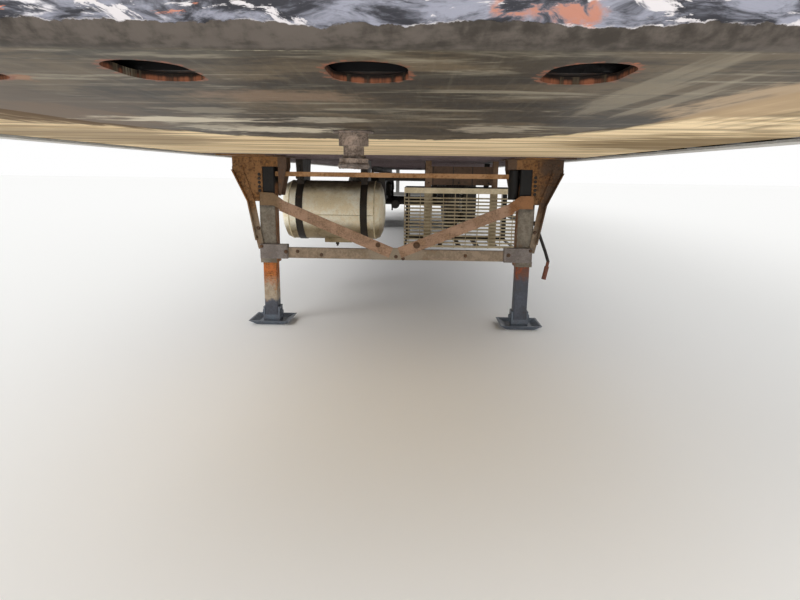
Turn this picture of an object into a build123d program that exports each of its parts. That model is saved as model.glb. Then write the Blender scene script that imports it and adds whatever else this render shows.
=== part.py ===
from build123d import *
from math import atan2, degrees, hypot
import os

os.makedirs("parts", exist_ok=True)

# An insulated van semi trailer with a tandem slider bogie, standing on its landing legs.
# Millimetres. +Z up, the nose towards -Y, +X the trailer's left side, z = 0 the ground.

# Body
overall_width = 2600
overall_height = 4115
body_length = 16154
unit_depth = 430
bumper_depth = 90
wall_thickness = 62
front_thickness = 75
side_inset = 20
corner_radius = 200
deck_thickness = 110
pan_thickness = 10
beam_depth = 92
beam_pitch = 300
beam_flange = 60
beam_web = 10
duct_pitch = 76
duct_width = 40
duct_depth = 40
roof_thickness = 60
roof_crown = 15
rail_lap = 4
rail_web = 14
rail_lip = 90
rail_top_lap = 30
top_rail_height = 100
top_rail_bevel = 30

# Coupler
coupler_height = 1190
plate_thickness = 8
plate_length = 2780
plate_half_width = 1080
lip_radius = 45
kingpin_setback = 970
kingpin_shoulder_r = 36.5
kingpin_neck_r = 25.4
kingpin_flange_r = 35.7
shoulder_length = 35
neck_length = 30
flange_length = 19
kingpin_base_r = 90
kingpin_base = 12
access_hole_length = 125
access_hole_width = 82
access_hole_pitch = 220
access_hole_setback = 152

# Landing gear
legs_behind_kingpin = 2600
leg_half_spacing = 910
leg_tube = 114
leg_wall = 8
leg_cap = 10
leg_head = 30
leg_bottom = 490
collar_size = 120
collar_height = 38
ram_size = 96
ram_bottom = 62
ram_hidden = 350
shoe_width = 300
shoe_depth = 260
shoe_flat = 190
shoe_rise = 34
shoe_plate = 12
bracket_plate = 8
wing_gap = 52
flange_reach = 147
channel_height = 73
channel_depth = 40
channel_wall = 8
brace_width = 76
brace_thickness = 8
shaft_height = 1077
shaft_size = 32

# Tank and rack
tank_behind_kingpin = 3600
tank_radius = 254
tank_length = 886
tank_centre_x = -585
tank_centre_z = 768
tank_dish = 78
strap_width = 60
strap_thickness = 5
strap_spread = 550
rack_behind_kingpin = 3400
rack_left = 994
rack_right = 34
rack_bottom = 470
rack_top = 975
rack_depth = 640
slat_pitch = 29
slat_height = 12
slat_depth = 24
rod_pitch = 98
rod_width = 6
rack_bar = 45
rack_angle = 40
rack_post = 60
rack_post_inset = 200
hanger_width = 50
hanger_thickness = 10

# Running gear
front_axle_behind_kingpin = 10400
axle_spread = 1245
dual_half_track = 984
tyre_radius = 525
tyre_width = 279
dual_spacing = 343
bead_radius = 290
rim_width = 210
rim_wall = 24
spindle_radius = 45
axle_tube_radius = 63
drum_radius = 222
drum_length = 175
bogie_rail_x = 560
bogie_rail_width = 110
bogie_rail_height = 170
body_rail_height = 98
slide_forward = 1500
slide_rearward = 1900
bogie_overhang_front = 950
bogie_overhang_rear = 700
arm_width = 80

# Rear doors
frame_depth = 130
post_width = 110
header_height = 115
jamb_lip = 20
door_thickness = 60
door_gap = 6
pin_inset = 12
pin_standoff = 44
pin_radius = 8
barrel_radius = 12
barrel_height = 60
strap_near = 17
strap_far = 25
strap_reach = 190
hinge_count = 4
hinge_margin = 190
lock_rod_radius = 14
lock_rod_places = (380, 900)
lock_rod_offset = 22
lock_height = 42
bracket_margin = 90

# Clearance of a fit, all round
fit = 0.3

# Places that follow from the sizes above
half_width = overall_width / 2
overall_length = unit_depth + body_length + bumper_depth
y_nose = -overall_length / 2 + unit_depth
y_rear = y_nose + body_length
y_kingpin = y_nose + kingpin_setback
y_legs = y_kingpin + legs_behind_kingpin
y_tank = y_kingpin + tank_behind_kingpin
y_rack = y_kingpin + rack_behind_kingpin
axle_places = (
    y_kingpin + front_axle_behind_kingpin,
    y_kingpin + front_axle_behind_kingpin + axle_spread,
)
y_frame = y_rear - frame_depth
beam_bottom = coupler_height + plate_thickness
pan_bottom = beam_bottom + beam_depth
deck_bottom = pan_bottom + pan_thickness
floor_height = deck_bottom + deck_thickness
side_x = half_width - side_inset
inner_x = side_x - wall_thickness
rail_x = side_x + rail_lap
rail_bottom = coupler_height
rail_top = floor_height + rail_top_lap
wall_top = overall_height - roof_crown - top_rail_height
roof_bottom = overall_height - roof_crown - roof_thickness
post_x = half_width - post_width
header_z = overall_height - header_height
door_bottom = floor_height + door_gap
door_top = header_z - door_gap


def across(y):
    """Upright plane at y, seen from the nose side: local x is X, local y is Z, extruding towards the nose."""
    return Plane.XZ.offset(-y)


def spaced(low, high, count):
    """Evenly spaced places, with low and high the first and the last."""
    return [low + (high - low) * i / (count - 1) for i in range(count)]


def save(builder, name):
    builder.part.label = name
    export_step(builder.part, f"parts/{name}.step")


# Upper coupler plate: flat underneath and rolled up at the nose, with four oval access holes
plate_rear = y_nose + plate_length
with BuildPart() as coupler_plate:
    with BuildSketch(Plane.YZ.offset(-plate_half_width)):
        with BuildLine():
            outer = FilletPolyline(
                (plate_rear, coupler_height), (y_nose, coupler_height), (y_nose, deck_bottom),
                radius=lip_radius,
            )
            inner = FilletPolyline(
                (plate_rear, beam_bottom), (y_nose + plate_thickness, beam_bottom),
                (y_nose + plate_thickness, deck_bottom),
                radius=lip_radius - plate_thickness,
            )
            Line(outer @ 0, inner @ 0)
            Line(outer @ 1, inner @ 1)
        make_face()
    extrude(amount=2 * plate_half_width)
    with BuildSketch(Plane.XY.offset(coupler_height)):
        with Locations((0, y_nose + access_hole_setback)):
            with GridLocations(access_hole_pitch, 1, 4, 1):
                SlotOverall(access_hole_length, access_hole_width, rotation=90)
        with Locations((0, y_kingpin)):
            Circle(kingpin_shoulder_r)
    extrude(amount=plate_thickness, mode=Mode.SUBTRACT)
save(coupler_plate, "coupler_plate")

# Kingpin: base flange above the plate, shoulder, neck and lower flange
neck_top = coupler_height - shoulder_length
neck_bottom = neck_top - neck_length
with BuildPart() as kingpin:
    with BuildSketch(across(y_kingpin)):
        with BuildLine():
            Polyline(
                (0, beam_bottom + kingpin_base),
                (kingpin_base_r, beam_bottom + kingpin_base),
                (kingpin_base_r, beam_bottom),
                (kingpin_shoulder_r, beam_bottom),
                (kingpin_shoulder_r, neck_top),
                (kingpin_neck_r, neck_top),
                (kingpin_neck_r, neck_bottom),
                (kingpin_flange_r, neck_bottom),
                (kingpin_flange_r, neck_bottom - flange_length),
                (0, neck_bottom - flange_length),
                close=True,
            )
        make_face()
    revolve(axis=Axis((0, y_kingpin, 0), (0, 0, 1)))
save(kingpin, "kingpin")

# Underframe: crossmembers under the floor pan, evenly spaced either side of the kingpin
frame_start = y_nose + plate_thickness
beams_forward = int((kingpin_setback - beam_pitch / 2 - beam_flange) // beam_pitch)
first_beam = y_kingpin - beam_pitch / 2 - beams_forward * beam_pitch
beam_count = int((y_frame - beam_flange - first_beam) // beam_pitch) + 1
beam_x = side_x - 12
frame_outline = [(y_frame, pan_bottom), (y_frame, deck_bottom), (frame_start, deck_bottom), (frame_start, pan_bottom)]
for i in range(beam_count):
    beam_y = first_beam + i * beam_pitch
    frame_outline += [
        (beam_y - beam_web / 2, pan_bottom),
        (beam_y - beam_web / 2, beam_bottom + beam_web),
        (beam_y - beam_flange / 2, beam_bottom + beam_web),
        (beam_y - beam_flange / 2, beam_bottom),
        (beam_y + beam_flange / 2, beam_bottom),
        (beam_y + beam_flange / 2, beam_bottom + beam_web),
        (beam_y + beam_web / 2, beam_bottom + beam_web),
        (beam_y + beam_web / 2, pan_bottom),
    ]
with BuildPart() as underframe:
    with BuildSketch(Plane.YZ.offset(-beam_x)):
        with BuildLine():
            Polyline(*frame_outline, close=True)
        make_face()
    extrude(amount=2 * beam_x)
    fillet(underframe.edges().filter_by(Axis.Z).group_by(Axis.Y)[0], corner_radius)
save(underframe, "underframe")


def beam_near(y):
    """Place of the crossmember nearest to y."""
    return first_beam + round((y - first_beam) / beam_pitch) * beam_pitch


# Floor deck with air ducts between its bearing strips
deck_start = y_nose + front_thickness
duct_count = int((2 * inner_x - duct_pitch) // duct_pitch)
deck_outline = [(inner_x, floor_height), (inner_x, deck_bottom), (-inner_x, deck_bottom), (-inner_x, floor_height)]
for i in range(duct_count):
    duct_x = (i - (duct_count - 1) / 2) * duct_pitch
    deck_outline += [
        (duct_x - duct_width / 2, floor_height),
        (duct_x - duct_width / 2, floor_height - duct_depth),
        (duct_x + duct_width / 2, floor_height - duct_depth),
        (duct_x + duct_width / 2, floor_height),
    ]
with BuildPart() as floor_deck:
    with BuildSketch(across(y_frame)):
        with BuildLine():
            Polyline(*deck_outline, close=True)
        make_face()
    extrude(amount=y_frame - deck_start)
save(floor_deck, "floor_deck")

# Side walls
return_depth = corner_radius + front_thickness
wall_start = y_nose + return_depth
for name, side in (("side_wall_left", 1), ("side_wall_right", -1)):
    with BuildPart() as side_wall:
        with BuildSketch(Plane.XY.offset(floor_height)):
            with Locations((side * (inner_x + side_x) / 2, (wall_start + y_frame) / 2)):
                Rectangle(wall_thickness, y_frame - wall_start)
        extrude(amount=wall_top - floor_height)
    save(side_wall, name)

# Front wall with rounded corners that return to the side walls
wall_rise = overall_height - roof_crown - deck_bottom
with BuildPart() as front_wall:
    with BuildSketch(Plane.XY.offset(deck_bottom)) as wall_plan:
        with Locations((0, y_nose + rail_lap)):
            Rectangle(2 * side_x, return_depth - rail_lap, align=(Align.CENTER, Align.MIN))
        fillet(wall_plan.vertices().group_by(Axis.Y)[0], corner_radius)
        with Locations((0, deck_start)):
            Rectangle(2 * inner_x, corner_radius, align=(Align.CENTER, Align.MIN), mode=Mode.SUBTRACT)
    extrude(amount=wall_rise)
save(front_wall, "front_wall")

# Return air bulkhead inside the front wall, on four feet
bulkhead_thickness = 40
bulkhead_foot = 90
bulkhead_foot_width = 60
bulkhead_side_gap = 30
bulkhead_x = inner_x - bulkhead_side_gap
with BuildPart() as bulkhead:
    with BuildSketch(across(wall_start + bulkhead_thickness)):
        with Locations((0, floor_height + bulkhead_foot)):
            Rectangle(
                2 * bulkhead_x, roof_bottom - floor_height - 3 * bulkhead_foot,
                align=(Align.CENTER, Align.MIN),
            )
        with Locations((0, floor_height + bulkhead_foot / 2)):
            with GridLocations(bulkhead_x / 2, 1, 4, 1):
                Rectangle(bulkhead_foot_width, bulkhead_foot)
    extrude(amount=bulkhead_thickness)
save(bulkhead, "bulkhead")

# Roof, crowned across its width
with BuildPart() as roof:
    with BuildSketch(across(y_frame)):
        with BuildLine():
            Polyline(
                (inner_x, roof_bottom + roof_thickness), (inner_x, roof_bottom),
                (-inner_x, roof_bottom), (-inner_x, roof_bottom + roof_thickness),
            )
            ThreePointArc(
                (-inner_x, roof_bottom + roof_thickness), (0, overall_height),
                (inner_x, roof_bottom + roof_thickness),
            )
        make_face()
    extrude(amount=y_frame - deck_start)
save(roof, "roof")

# Bottom rails: an angle under the wall, carried round the front corners
with BuildPart() as bottom_rails:
    with BuildSketch(across(y_frame)):
        with BuildLine():
            Polyline(
                (rail_x, rail_bottom),
                (rail_x, rail_top),
                (side_x, rail_top),
                (side_x, floor_height),
                (inner_x, floor_height),
                (inner_x, floor_height - rail_web),
                (rail_x - rail_web, floor_height - rail_web),
                (rail_x - rail_web, beam_bottom),
                (rail_x - rail_lip, beam_bottom),
                (rail_x - rail_lip, rail_bottom),
                close=True,
            )
        make_face()
    extrude(amount=y_frame - y_nose - return_depth)
    with BuildSketch(Plane.XY.offset(rail_bottom)):
        with Locations((rail_x - corner_radius - rail_lap, y_nose + corner_radius + rail_lap)):
            Circle(corner_radius + rail_lap)
            Circle(corner_radius, mode=Mode.SUBTRACT)
            Rectangle(
                corner_radius + rail_lap, corner_radius + rail_lap,
                align=(Align.MIN, Align.MAX), mode=Mode.INTERSECT,
            )
        with Locations((rail_x, y_nose + return_depth)):
            Rectangle(rail_lap, return_depth - corner_radius - rail_lap, align=Align.MAX)
    extrude(amount=rail_top - rail_bottom)
    mirror(about=Plane.YZ)
save(bottom_rails, "bottom_rails")

# Top rails, lapping over the side walls
with BuildPart() as top_rails:
    with BuildSketch(across(y_frame)):
        with BuildLine():
            Polyline(
                (rail_x, wall_top - rail_top_lap),
                (rail_x, wall_top + top_rail_height - top_rail_bevel),
                (side_x - top_rail_bevel, wall_top + top_rail_height),
                (inner_x, wall_top + top_rail_height),
                (inner_x, wall_top),
                (side_x, wall_top),
                (side_x, wall_top - rail_top_lap),
                close=True,
            )
        make_face()
    extrude(amount=y_frame - wall_start)
    mirror(about=Plane.YZ)
save(top_rails, "top_rails")

# Rear frame: posts, header and sill with a stepped jamb, hinge ears with their pins, and dock bumpers
hinge_heights = spaced(door_bottom + hinge_margin, door_top - hinge_margin, hinge_count)
pin_x = half_width - pin_inset
pin_y = y_rear + pin_standoff
ear_thickness = 12
ear_gap = 5
ear_offset = barrel_height / 2 + ear_gap + ear_thickness / 2
bumper_width = 170
bumper_height = 110
bumper_x = 1000
bumper_z = rail_bottom + 62
with BuildPart() as rear_frame:
    with BuildSketch(across(y_rear)):
        with Locations((0, (rail_bottom + overall_height) / 2)):
            Rectangle(overall_width, overall_height - rail_bottom)
        with Locations((0, floor_height)):
            Rectangle(
                2 * (post_x - jamb_lip), header_z - jamb_lip - floor_height,
                align=(Align.CENTER, Align.MIN), mode=Mode.SUBTRACT,
            )
    extrude(amount=frame_depth)
    with BuildSketch(across(y_rear)):
        with Locations((0, floor_height)):
            Rectangle(2 * post_x, header_z - floor_height, align=(Align.CENTER, Align.MIN))
    extrude(amount=door_thickness + door_gap, mode=Mode.SUBTRACT)
    with BuildSketch(across(y_rear)):
        for z in hinge_heights:
            with Locations((0, z)):
                with GridLocations(2 * pin_x, 2 * ear_offset, 2, 2):
                    Rectangle(2 * barrel_radius, ear_thickness)
    extrude(amount=-pin_standoff - barrel_radius)
    for z in hinge_heights:
        with BuildSketch(Plane.XY.offset(z)):
            with Locations((pin_x, pin_y), (-pin_x, pin_y)):
                Circle(pin_radius)
        extrude(amount=ear_offset, both=True)
    with BuildSketch(across(y_rear)):
        with Locations((bumper_x, bumper_z), (-bumper_x, bumper_z)):
            Rectangle(bumper_width, bumper_height)
    extrude(amount=-bumper_depth)
save(rear_frame, "rear_frame")

# Doors and their gear: panels, hinge leaves with barrels, lock rods, brackets and handles
rod_y = y_rear + lock_rod_offset
rod_bottom = rail_bottom + 145
rod_top = header_z + header_height / 2
bracket_heights = spaced(door_bottom + bracket_margin, door_top - bracket_margin, hinge_count)
bracket_width = 80
bracket_height = 50
handle_rise = 434
handle_height = door_bottom + handle_rise
handle_reach = 330
handle_thickness = 30
leaf_width = 50
leaf_inset = 20
door_outer = post_x - door_gap
for name, side in (("left", 1), ("right", -1)):
    with BuildPart() as door:
        with BuildSketch(across(y_rear)):
            with Locations((side * (door_gap + door_outer) / 2, (door_bottom + door_top) / 2)):
                Rectangle(door_outer - door_gap, door_top - door_bottom)
        extrude(amount=door_thickness)
    save(door, f"door_{name}")

    with BuildPart() as hinges:
        for z in hinge_heights:
            with BuildSketch(Plane.XY.offset(z)):
                with Locations((side * pin_x, pin_y)):
                    Circle(barrel_radius)
                with BuildLine():
                    Polyline(
                        (side * (pin_x + barrel_radius), pin_y),
                        (side * (pin_x + barrel_radius), pin_y - strap_far),
                        (side * (pin_x - strap_reach), pin_y - strap_far),
                        (side * (pin_x - strap_reach), pin_y - strap_near),
                        (side * (pin_x - barrel_radius), pin_y - strap_near),
                        (side * (pin_x - barrel_radius), pin_y),
                        close=True,
                    )
                make_face()
                with Locations((side * pin_x, pin_y)):
                    Circle(pin_radius + fit, mode=Mode.SUBTRACT)
            extrude(amount=barrel_height / 2, both=True)
        with BuildSketch(across(pin_y - strap_far)):
            with Locations(*[(side * (door_outer - leaf_width / 2 - leaf_inset), z) for z in hinge_heights]):
                Rectangle(leaf_width, barrel_height)
        extrude(amount=pin_standoff - strap_far)
    save(hinges, f"door_{name}_hinges")

    with BuildPart() as lock_rods:
        with BuildSketch(Plane.XY.offset(rod_bottom)):
            with Locations(*[(side * x, rod_y) for x in lock_rod_places]):
                Circle(lock_rod_radius)
        extrude(amount=rod_top - rod_bottom)
        with BuildSketch(across(y_rear)):
            with Locations(*[(side * x, z) for x in lock_rod_places for z in bracket_heights]):
                Rectangle(bracket_width, bracket_height)
        extrude(amount=-lock_height)
        with BuildSketch(Plane.XY.offset(handle_height)):
            with Locations(*[(side * x, rod_y) for x in lock_rod_places]):
                Rectangle(handle_reach, lock_rod_radius, align=(Align.MIN if side < 0 else Align.MAX, Align.CENTER))
        extrude(amount=handle_thickness)
    save(lock_rods, f"door_{name}_lock_rods")

# Refrigeration unit on the front wall: case and louvred grille
unit_width = 2040
unit_bottom = floor_height + 370
unit_top = overall_height - 155
unit_round = 60
grille_width = 1560
grille_height = 760
grille_top = unit_top - 220
grille_recess = 40
grille_rim = 30
grille_setback = 6
louvre_pitch = 62
louvre_height = 26
grille_middle = grille_top - grille_height / 2
with BuildPart() as cooling_unit:
    with BuildSketch(across(y_nose + rail_lap)):
        with Locations((0, (unit_bottom + unit_top) / 2)):
            RectangleRounded(unit_width, unit_top - unit_bottom, unit_round)
    extrude(amount=unit_depth + rail_lap)
    chamfer(cooling_unit.faces().sort_by(Axis.Y)[0].edges(), unit_round / 2)
    with BuildSketch(across(y_nose - unit_depth)):
        with Locations((0, grille_middle)):
            Rectangle(grille_width, grille_height)
    extrude(amount=-grille_recess, mode=Mode.SUBTRACT)
save(cooling_unit, "cooling_unit")

louvre_count = int(grille_height // louvre_pitch) - 1
with BuildPart() as cooling_grille:
    with BuildSketch(across(y_nose - unit_depth + grille_recess)):
        with Locations((0, grille_middle)):
            Rectangle(grille_width, grille_height)
            Rectangle(grille_width - 2 * grille_rim, grille_height - 2 * grille_rim, mode=Mode.SUBTRACT)
            with GridLocations(1, louvre_pitch, 1, louvre_count):
                Rectangle(grille_width, louvre_height)
    extrude(amount=grille_recess - grille_setback)
save(cooling_grille, "cooling_grille")

# Air and power connections on a plate on the front wall
connector_z = floor_height + 190
connector_spread = 320
connector_plate = 10
connector_face = y_nose + rail_lap - connector_plate
air_length = 64
socket_length = 60
with BuildPart() as nose_connectors:
    with BuildSketch(across(y_nose + rail_lap)):
        with Locations((0, connector_z)):
            Rectangle(connector_spread + 140, 150)
    extrude(amount=connector_plate)
    with BuildSketch(across(connector_face)):
        with Locations((0, connector_z)):
            Circle(38)
    extrude(amount=socket_length)
    with BuildSketch(across(connector_face)):
        with Locations((0, connector_z)):
            with GridLocations(connector_spread, 1, 2, 1):
                Rectangle(50, 90)
    extrude(amount=air_length)
save(nose_connectors, "nose_connectors")

# Landing gear: square leg housings, rams and sand shoes
leg_outer = leg_half_spacing + leg_tube / 2
leg_inner = leg_half_spacing - leg_tube / 2
y_leg_front = y_legs - leg_tube / 2
leg_top = beam_bottom - bracket_plate - leg_head - leg_cap
with BuildPart() as leg_housings:
    with BuildSketch(Plane.XY.offset(leg_bottom)):
        with Locations((leg_half_spacing, y_legs)):
            RectangleRounded(leg_tube, leg_tube, 12)
            Rectangle(leg_tube - 2 * leg_wall, leg_tube - 2 * leg_wall, mode=Mode.SUBTRACT)
    extrude(amount=leg_top - leg_bottom)
    with BuildSketch(Plane.XY.offset(leg_bottom - collar_height)):
        with Locations((leg_half_spacing, y_legs)):
            Rectangle(collar_size, collar_size)
            Rectangle(ram_size + 2 * fit, ram_size + 2 * fit, mode=Mode.SUBTRACT)
    extrude(amount=collar_height)
    with BuildSketch(Plane.XY.offset(leg_top)):
        with Locations((leg_half_spacing, y_legs)):
            Rectangle(leg_tube, leg_tube)
    extrude(amount=leg_cap)
    mirror(about=Plane.YZ)
save(leg_housings, "leg_housings")

with BuildPart() as leg_rams:
    with BuildSketch(Plane.XY.offset(ram_bottom)):
        with Locations((leg_half_spacing, y_legs)):
            RectangleRounded(ram_size, ram_size, 8)
    extrude(amount=leg_bottom + ram_hidden - ram_bottom)
    mirror(about=Plane.YZ)
save(leg_rams, "leg_rams")

socket_size = ram_size + 24
socket_rise = 60
with BuildPart() as sand_shoes:
    for plane_z, wide, deep in ((0, shoe_flat, shoe_flat), (shoe_rise, shoe_width, shoe_depth)):
        with BuildSketch(Plane.XY.offset(plane_z)):
            with Locations((leg_half_spacing, y_legs)):
                Rectangle(wide, deep)
    loft()
    for plane_z, wide, deep in (
        (shoe_plate, shoe_flat, shoe_flat),
        (shoe_rise, shoe_width - 2 * shoe_plate, shoe_depth - 2 * shoe_plate),
    ):
        with BuildSketch(Plane.XY.offset(plane_z)):
            with Locations((leg_half_spacing, y_legs)):
                Rectangle(wide, deep)
    loft(mode=Mode.SUBTRACT)
    with BuildSketch(Plane.XY.offset(shoe_plate)):
        with Locations((leg_half_spacing, y_legs)):
            Rectangle(socket_size, ram_size)
    extrude(amount=ram_bottom - shoe_plate)
    with BuildSketch(Plane.XY.offset(ram_bottom)):
        with Locations((leg_half_spacing, y_legs)):
            Rectangle(socket_size, ram_size)
            Rectangle(ram_size, ram_size, mode=Mode.SUBTRACT)
    extrude(amount=socket_rise)
    mirror(about=Plane.YZ)
save(sand_shoes, "sand_shoes")

# Each bracket: foot under three crossmembers, front and rear plates with a tapered wing, and the outer brace
band_depth = 72
wing_depth = 310
flange_depth = 270
brace_head_depth = 95
wing_x = rail_x - rail_lip - wing_gap
flange_x = leg_half_spacing - flange_reach
strip_x = leg_outer - 32
band_low = beam_bottom - band_depth
wing_low = beam_bottom - wing_depth
flange_low = beam_bottom - flange_depth
flange_low_x = leg_inner - 45
brace_top = beam_bottom - brace_head_depth
box_height = 100
box_top = leg_bottom + box_height
box_outer_x = leg_outer - 10
brace_face = 50
brace_flange = 9
brace_forward = 28
brace_tab = 38
brace_tab_width = 22
knee_outer_x = leg_inner - 30
brace_knee_x = (wing_x + leg_outer) / 2 - 14
brace_foot_x = box_outer_x + 36
brace_foot_z = box_top + 26
y_foot = beam_near(y_legs)
with BuildPart() as leg_brackets:
    with BuildSketch(Plane.XY.offset(beam_bottom)):
        with Locations(((wing_x + flange_x) / 2, y_foot)):
            Rectangle(wing_x - flange_x, 2 * beam_pitch + beam_flange)
    extrude(amount=-bracket_plate)
    for y, inner_edge in (
        (y_leg_front, [(strip_x, wing_low), (strip_x, band_low), (flange_x, band_low)]),
        (y_legs + leg_tube / 2 + bracket_plate, [
            (strip_x, wing_low), (strip_x, flange_low), (flange_low_x, flange_low), (flange_x, band_low),
        ]),
    ):
        with BuildSketch(across(y)):
            with BuildLine():
                Polyline(
                    (flange_x, beam_bottom), (wing_x, beam_bottom), (wing_x, brace_top),
                    (brace_knee_x, wing_low), *inner_edge,
                    close=True,
                )
            make_face()
        extrude(amount=bracket_plate)
    with BuildSketch(across(y_leg_front - bracket_plate)):
        with BuildLine():
            Polyline(
                (wing_x, band_low), (wing_x, brace_top), (brace_knee_x, wing_low), (brace_foot_x, brace_foot_z),
                (box_outer_x + brace_tab_width, box_top - brace_tab), (box_outer_x, box_top - brace_tab),
                (box_outer_x, box_top), (brace_foot_x - brace_face, box_top),
                (brace_knee_x - brace_face, wing_low), (wing_x - brace_width, brace_top),
                (wing_x - brace_width, band_low),
                close=True,
            )
        make_face()
    extrude(amount=bracket_plate)
    with BuildSketch(across(y_leg_front - bracket_plate)):
        with BuildLine():
            Polyline(
                (wing_x, brace_top), (brace_knee_x, wing_low), (brace_foot_x, brace_foot_z),
                (brace_foot_x - brace_flange, brace_foot_z), (brace_knee_x - brace_flange, wing_low),
                (wing_x - brace_flange, brace_top),
                close=True,
            )
        make_face()
    extrude(amount=bracket_plate + brace_forward)
    with BuildSketch(Plane.XY.offset(leg_top + leg_cap)):
        with Locations((leg_half_spacing, y_legs)):
            Rectangle(leg_tube, leg_tube)
    extrude(amount=leg_head)
    mirror(about=Plane.YZ)
    with BuildSketch(across(y_leg_front)):
        with BuildLine():
            Polyline(
                (-knee_outer_x, band_low), (-flange_x, band_low), (-flange_low_x, flange_low),
                (-knee_outer_x, flange_low),
                close=True,
            )
        make_face()
    extrude(amount=bracket_plate)
save(leg_brackets, "leg_brackets")

# Channel across the legs with its end boxes and centre gusset, and the two diagonals
channel_bottom = leg_bottom + 4
channel_top = channel_bottom + channel_height
box_inner_x = leg_inner - 90
box_depth = 56
gusset_half = 165
gusset_taper = 24
gusset_rise = 12
gusset_top = channel_top + gusset_rise
with BuildPart() as leg_channel:
    with BuildSketch(Plane.YZ.offset(-leg_half_spacing)):
        with Locations((y_leg_front, channel_bottom)):
            Rectangle(channel_depth, channel_height, align=(Align.MAX, Align.MIN))
        with Locations((y_leg_front, channel_bottom + channel_wall)):
            Rectangle(
                channel_depth - channel_wall, channel_height - 2 * channel_wall,
                align=(Align.MAX, Align.MIN), mode=Mode.SUBTRACT,
            )
    extrude(amount=2 * leg_half_spacing)
    with BuildSketch(across(y_leg_front)):
        with Locations((0, leg_bottom + box_height / 2)):
            with GridLocations(box_inner_x + box_outer_x, 1, 2, 1):
                Rectangle(box_outer_x - box_inner_x, box_height)
    extrude(amount=box_depth)
    with BuildSketch(across(y_leg_front - channel_depth)):
        with BuildLine():
            Polyline(
                (-gusset_half, channel_bottom), (-gusset_half, channel_top),
                (-gusset_half + gusset_taper, gusset_top), (gusset_half - gusset_taper, gusset_top),
                (gusset_half, channel_top), (gusset_half, channel_bottom),
                close=True,
            )
        make_face()
    extrude(amount=brace_thickness)
save(leg_channel, "leg_channel")

diagonal_low_x = 30
diagonal_low_z = channel_top - 22
diagonal_rise = 318
diagonal_top_x = leg_inner - 53
diagonal_top_z = diagonal_low_z + diagonal_rise
diagonal_run = hypot(diagonal_top_x - diagonal_low_x, diagonal_top_z - diagonal_low_z)
diagonal_angle = degrees(atan2(diagonal_top_z - diagonal_low_z, diagonal_top_x - diagonal_low_x))
end_plate_low = diagonal_top_z - 1
end_plate_height = 90
end_block_width = 64
end_block_height = 74
with BuildPart() as leg_diagonals:
    with BuildSketch(across(y_leg_front - channel_depth - brace_thickness)):
        with Locations(Location(
            ((diagonal_top_x + diagonal_low_x) / 2, (diagonal_top_z + diagonal_low_z) / 2), diagonal_angle,
        )):
            Rectangle(diagonal_run, brace_width)
    extrude(amount=brace_thickness)
    with BuildSketch(across(y_leg_front - channel_depth)):
        with BuildLine():
            Polyline(
                (leg_inner - 83, end_plate_low - 54), (leg_inner - 83, end_plate_low + 26),
                (leg_inner, end_plate_low + end_plate_height - 4),
                (strip_x + 10, end_plate_low + end_plate_height), (strip_x + 10, end_plate_low),
                (leg_inner, end_plate_low),
                close=True,
            )
        make_face()
    extrude(amount=brace_thickness)
    with BuildSketch(across(y_leg_front)):
        with Locations((leg_inner + end_block_width / 2 + 12, end_plate_low + end_plate_height / 2)):
            Rectangle(end_block_width, end_block_height)
    extrude(amount=channel_depth)
    mirror(about=Plane.YZ)
save(leg_diagonals, "leg_diagonals")

# Cross shaft between the leg heads with its gearbox, and the folded crank handle on the left leg
shaft_forward = 15
gearbox_radius = 36
gearbox_low = 922
gearbox_top = 1120
gearbox_x = leg_inner - gearbox_radius
with BuildPart() as leg_shaft:
    with BuildSketch(Plane.YZ.offset(-leg_inner)):
        with Locations((y_legs - shaft_forward, shaft_height)):
            Rectangle(shaft_size, shaft_size)
    extrude(amount=2 * leg_inner)
    with BuildSketch(Plane.XY.offset(gearbox_low)):
        with Locations((gearbox_x, y_legs - shaft_forward)):
            Circle(gearbox_radius)
    extrude(amount=gearbox_top - gearbox_low)
save(leg_shaft, "leg_shaft")

crank_radius = 11
crank_boss_radius = 16
crank_forward = 40
grip_radius = 16
grip_length = 95
crank_route = [(23, 760), (42, 692), (98, 556), (120, 492), (97, 364)]
with BuildPart() as crank_handle:
    with BuildLine():
        crank_path = Polyline(*[(leg_outer + out, y_legs - crank_forward, z) for out, z in crank_route])
    with BuildSketch(Plane(origin=crank_path @ 0, z_dir=crank_path % 0)):
        Circle(crank_radius)
    sweep(transition=Transition.RIGHT)
    with BuildSketch(Plane(origin=crank_path @ 1, z_dir=crank_path % 1)):
        Circle(grip_radius)
    extrude(amount=-grip_length)
    with BuildSketch(Plane.YZ.offset(leg_outer)):
        with Locations((y_legs - crank_forward, crank_route[0][1])):
            Circle(crank_boss_radius)
    extrude(amount=crank_route[0][0] + crank_radius)
save(crank_handle, "crank_handle")

# Fuel tank with rounded ends and a drain plate, and its straps hung from two crossmembers
tank_left = tank_centre_x + tank_length / 2
tank_right = tank_centre_x - tank_length / 2
tank_end = (
    (0, 0.36 * tank_radius), (0.18 * tank_dish, 0.72 * tank_radius),
    (0.5 * tank_dish, 0.93 * tank_radius), (tank_dish, tank_radius),
)
drain_x = -550
drain_width = 240
drain_length = 150
drain_drop = 28
with BuildPart() as fuel_tank:
    with BuildSketch(Plane.XY.offset(tank_centre_z)):
        with BuildLine():
            Polyline(
                (tank_right, y_tank), *[(tank_right + x, y_tank - r) for x, r in tank_end],
                *[(tank_left - x, y_tank - r) for x, r in reversed(tank_end)], (tank_left, y_tank),
                close=True,
            )
        make_face()
    revolve(axis=Axis((0, y_tank, tank_centre_z), (1, 0, 0)))
    with BuildSketch(Plane.XY.offset(tank_centre_z - tank_radius - drain_drop)):
        with Locations((drain_x, y_tank)):
            Rectangle(drain_width, drain_length)
    extrude(amount=2 * drain_drop)
save(fuel_tank, "fuel_tank")

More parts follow.
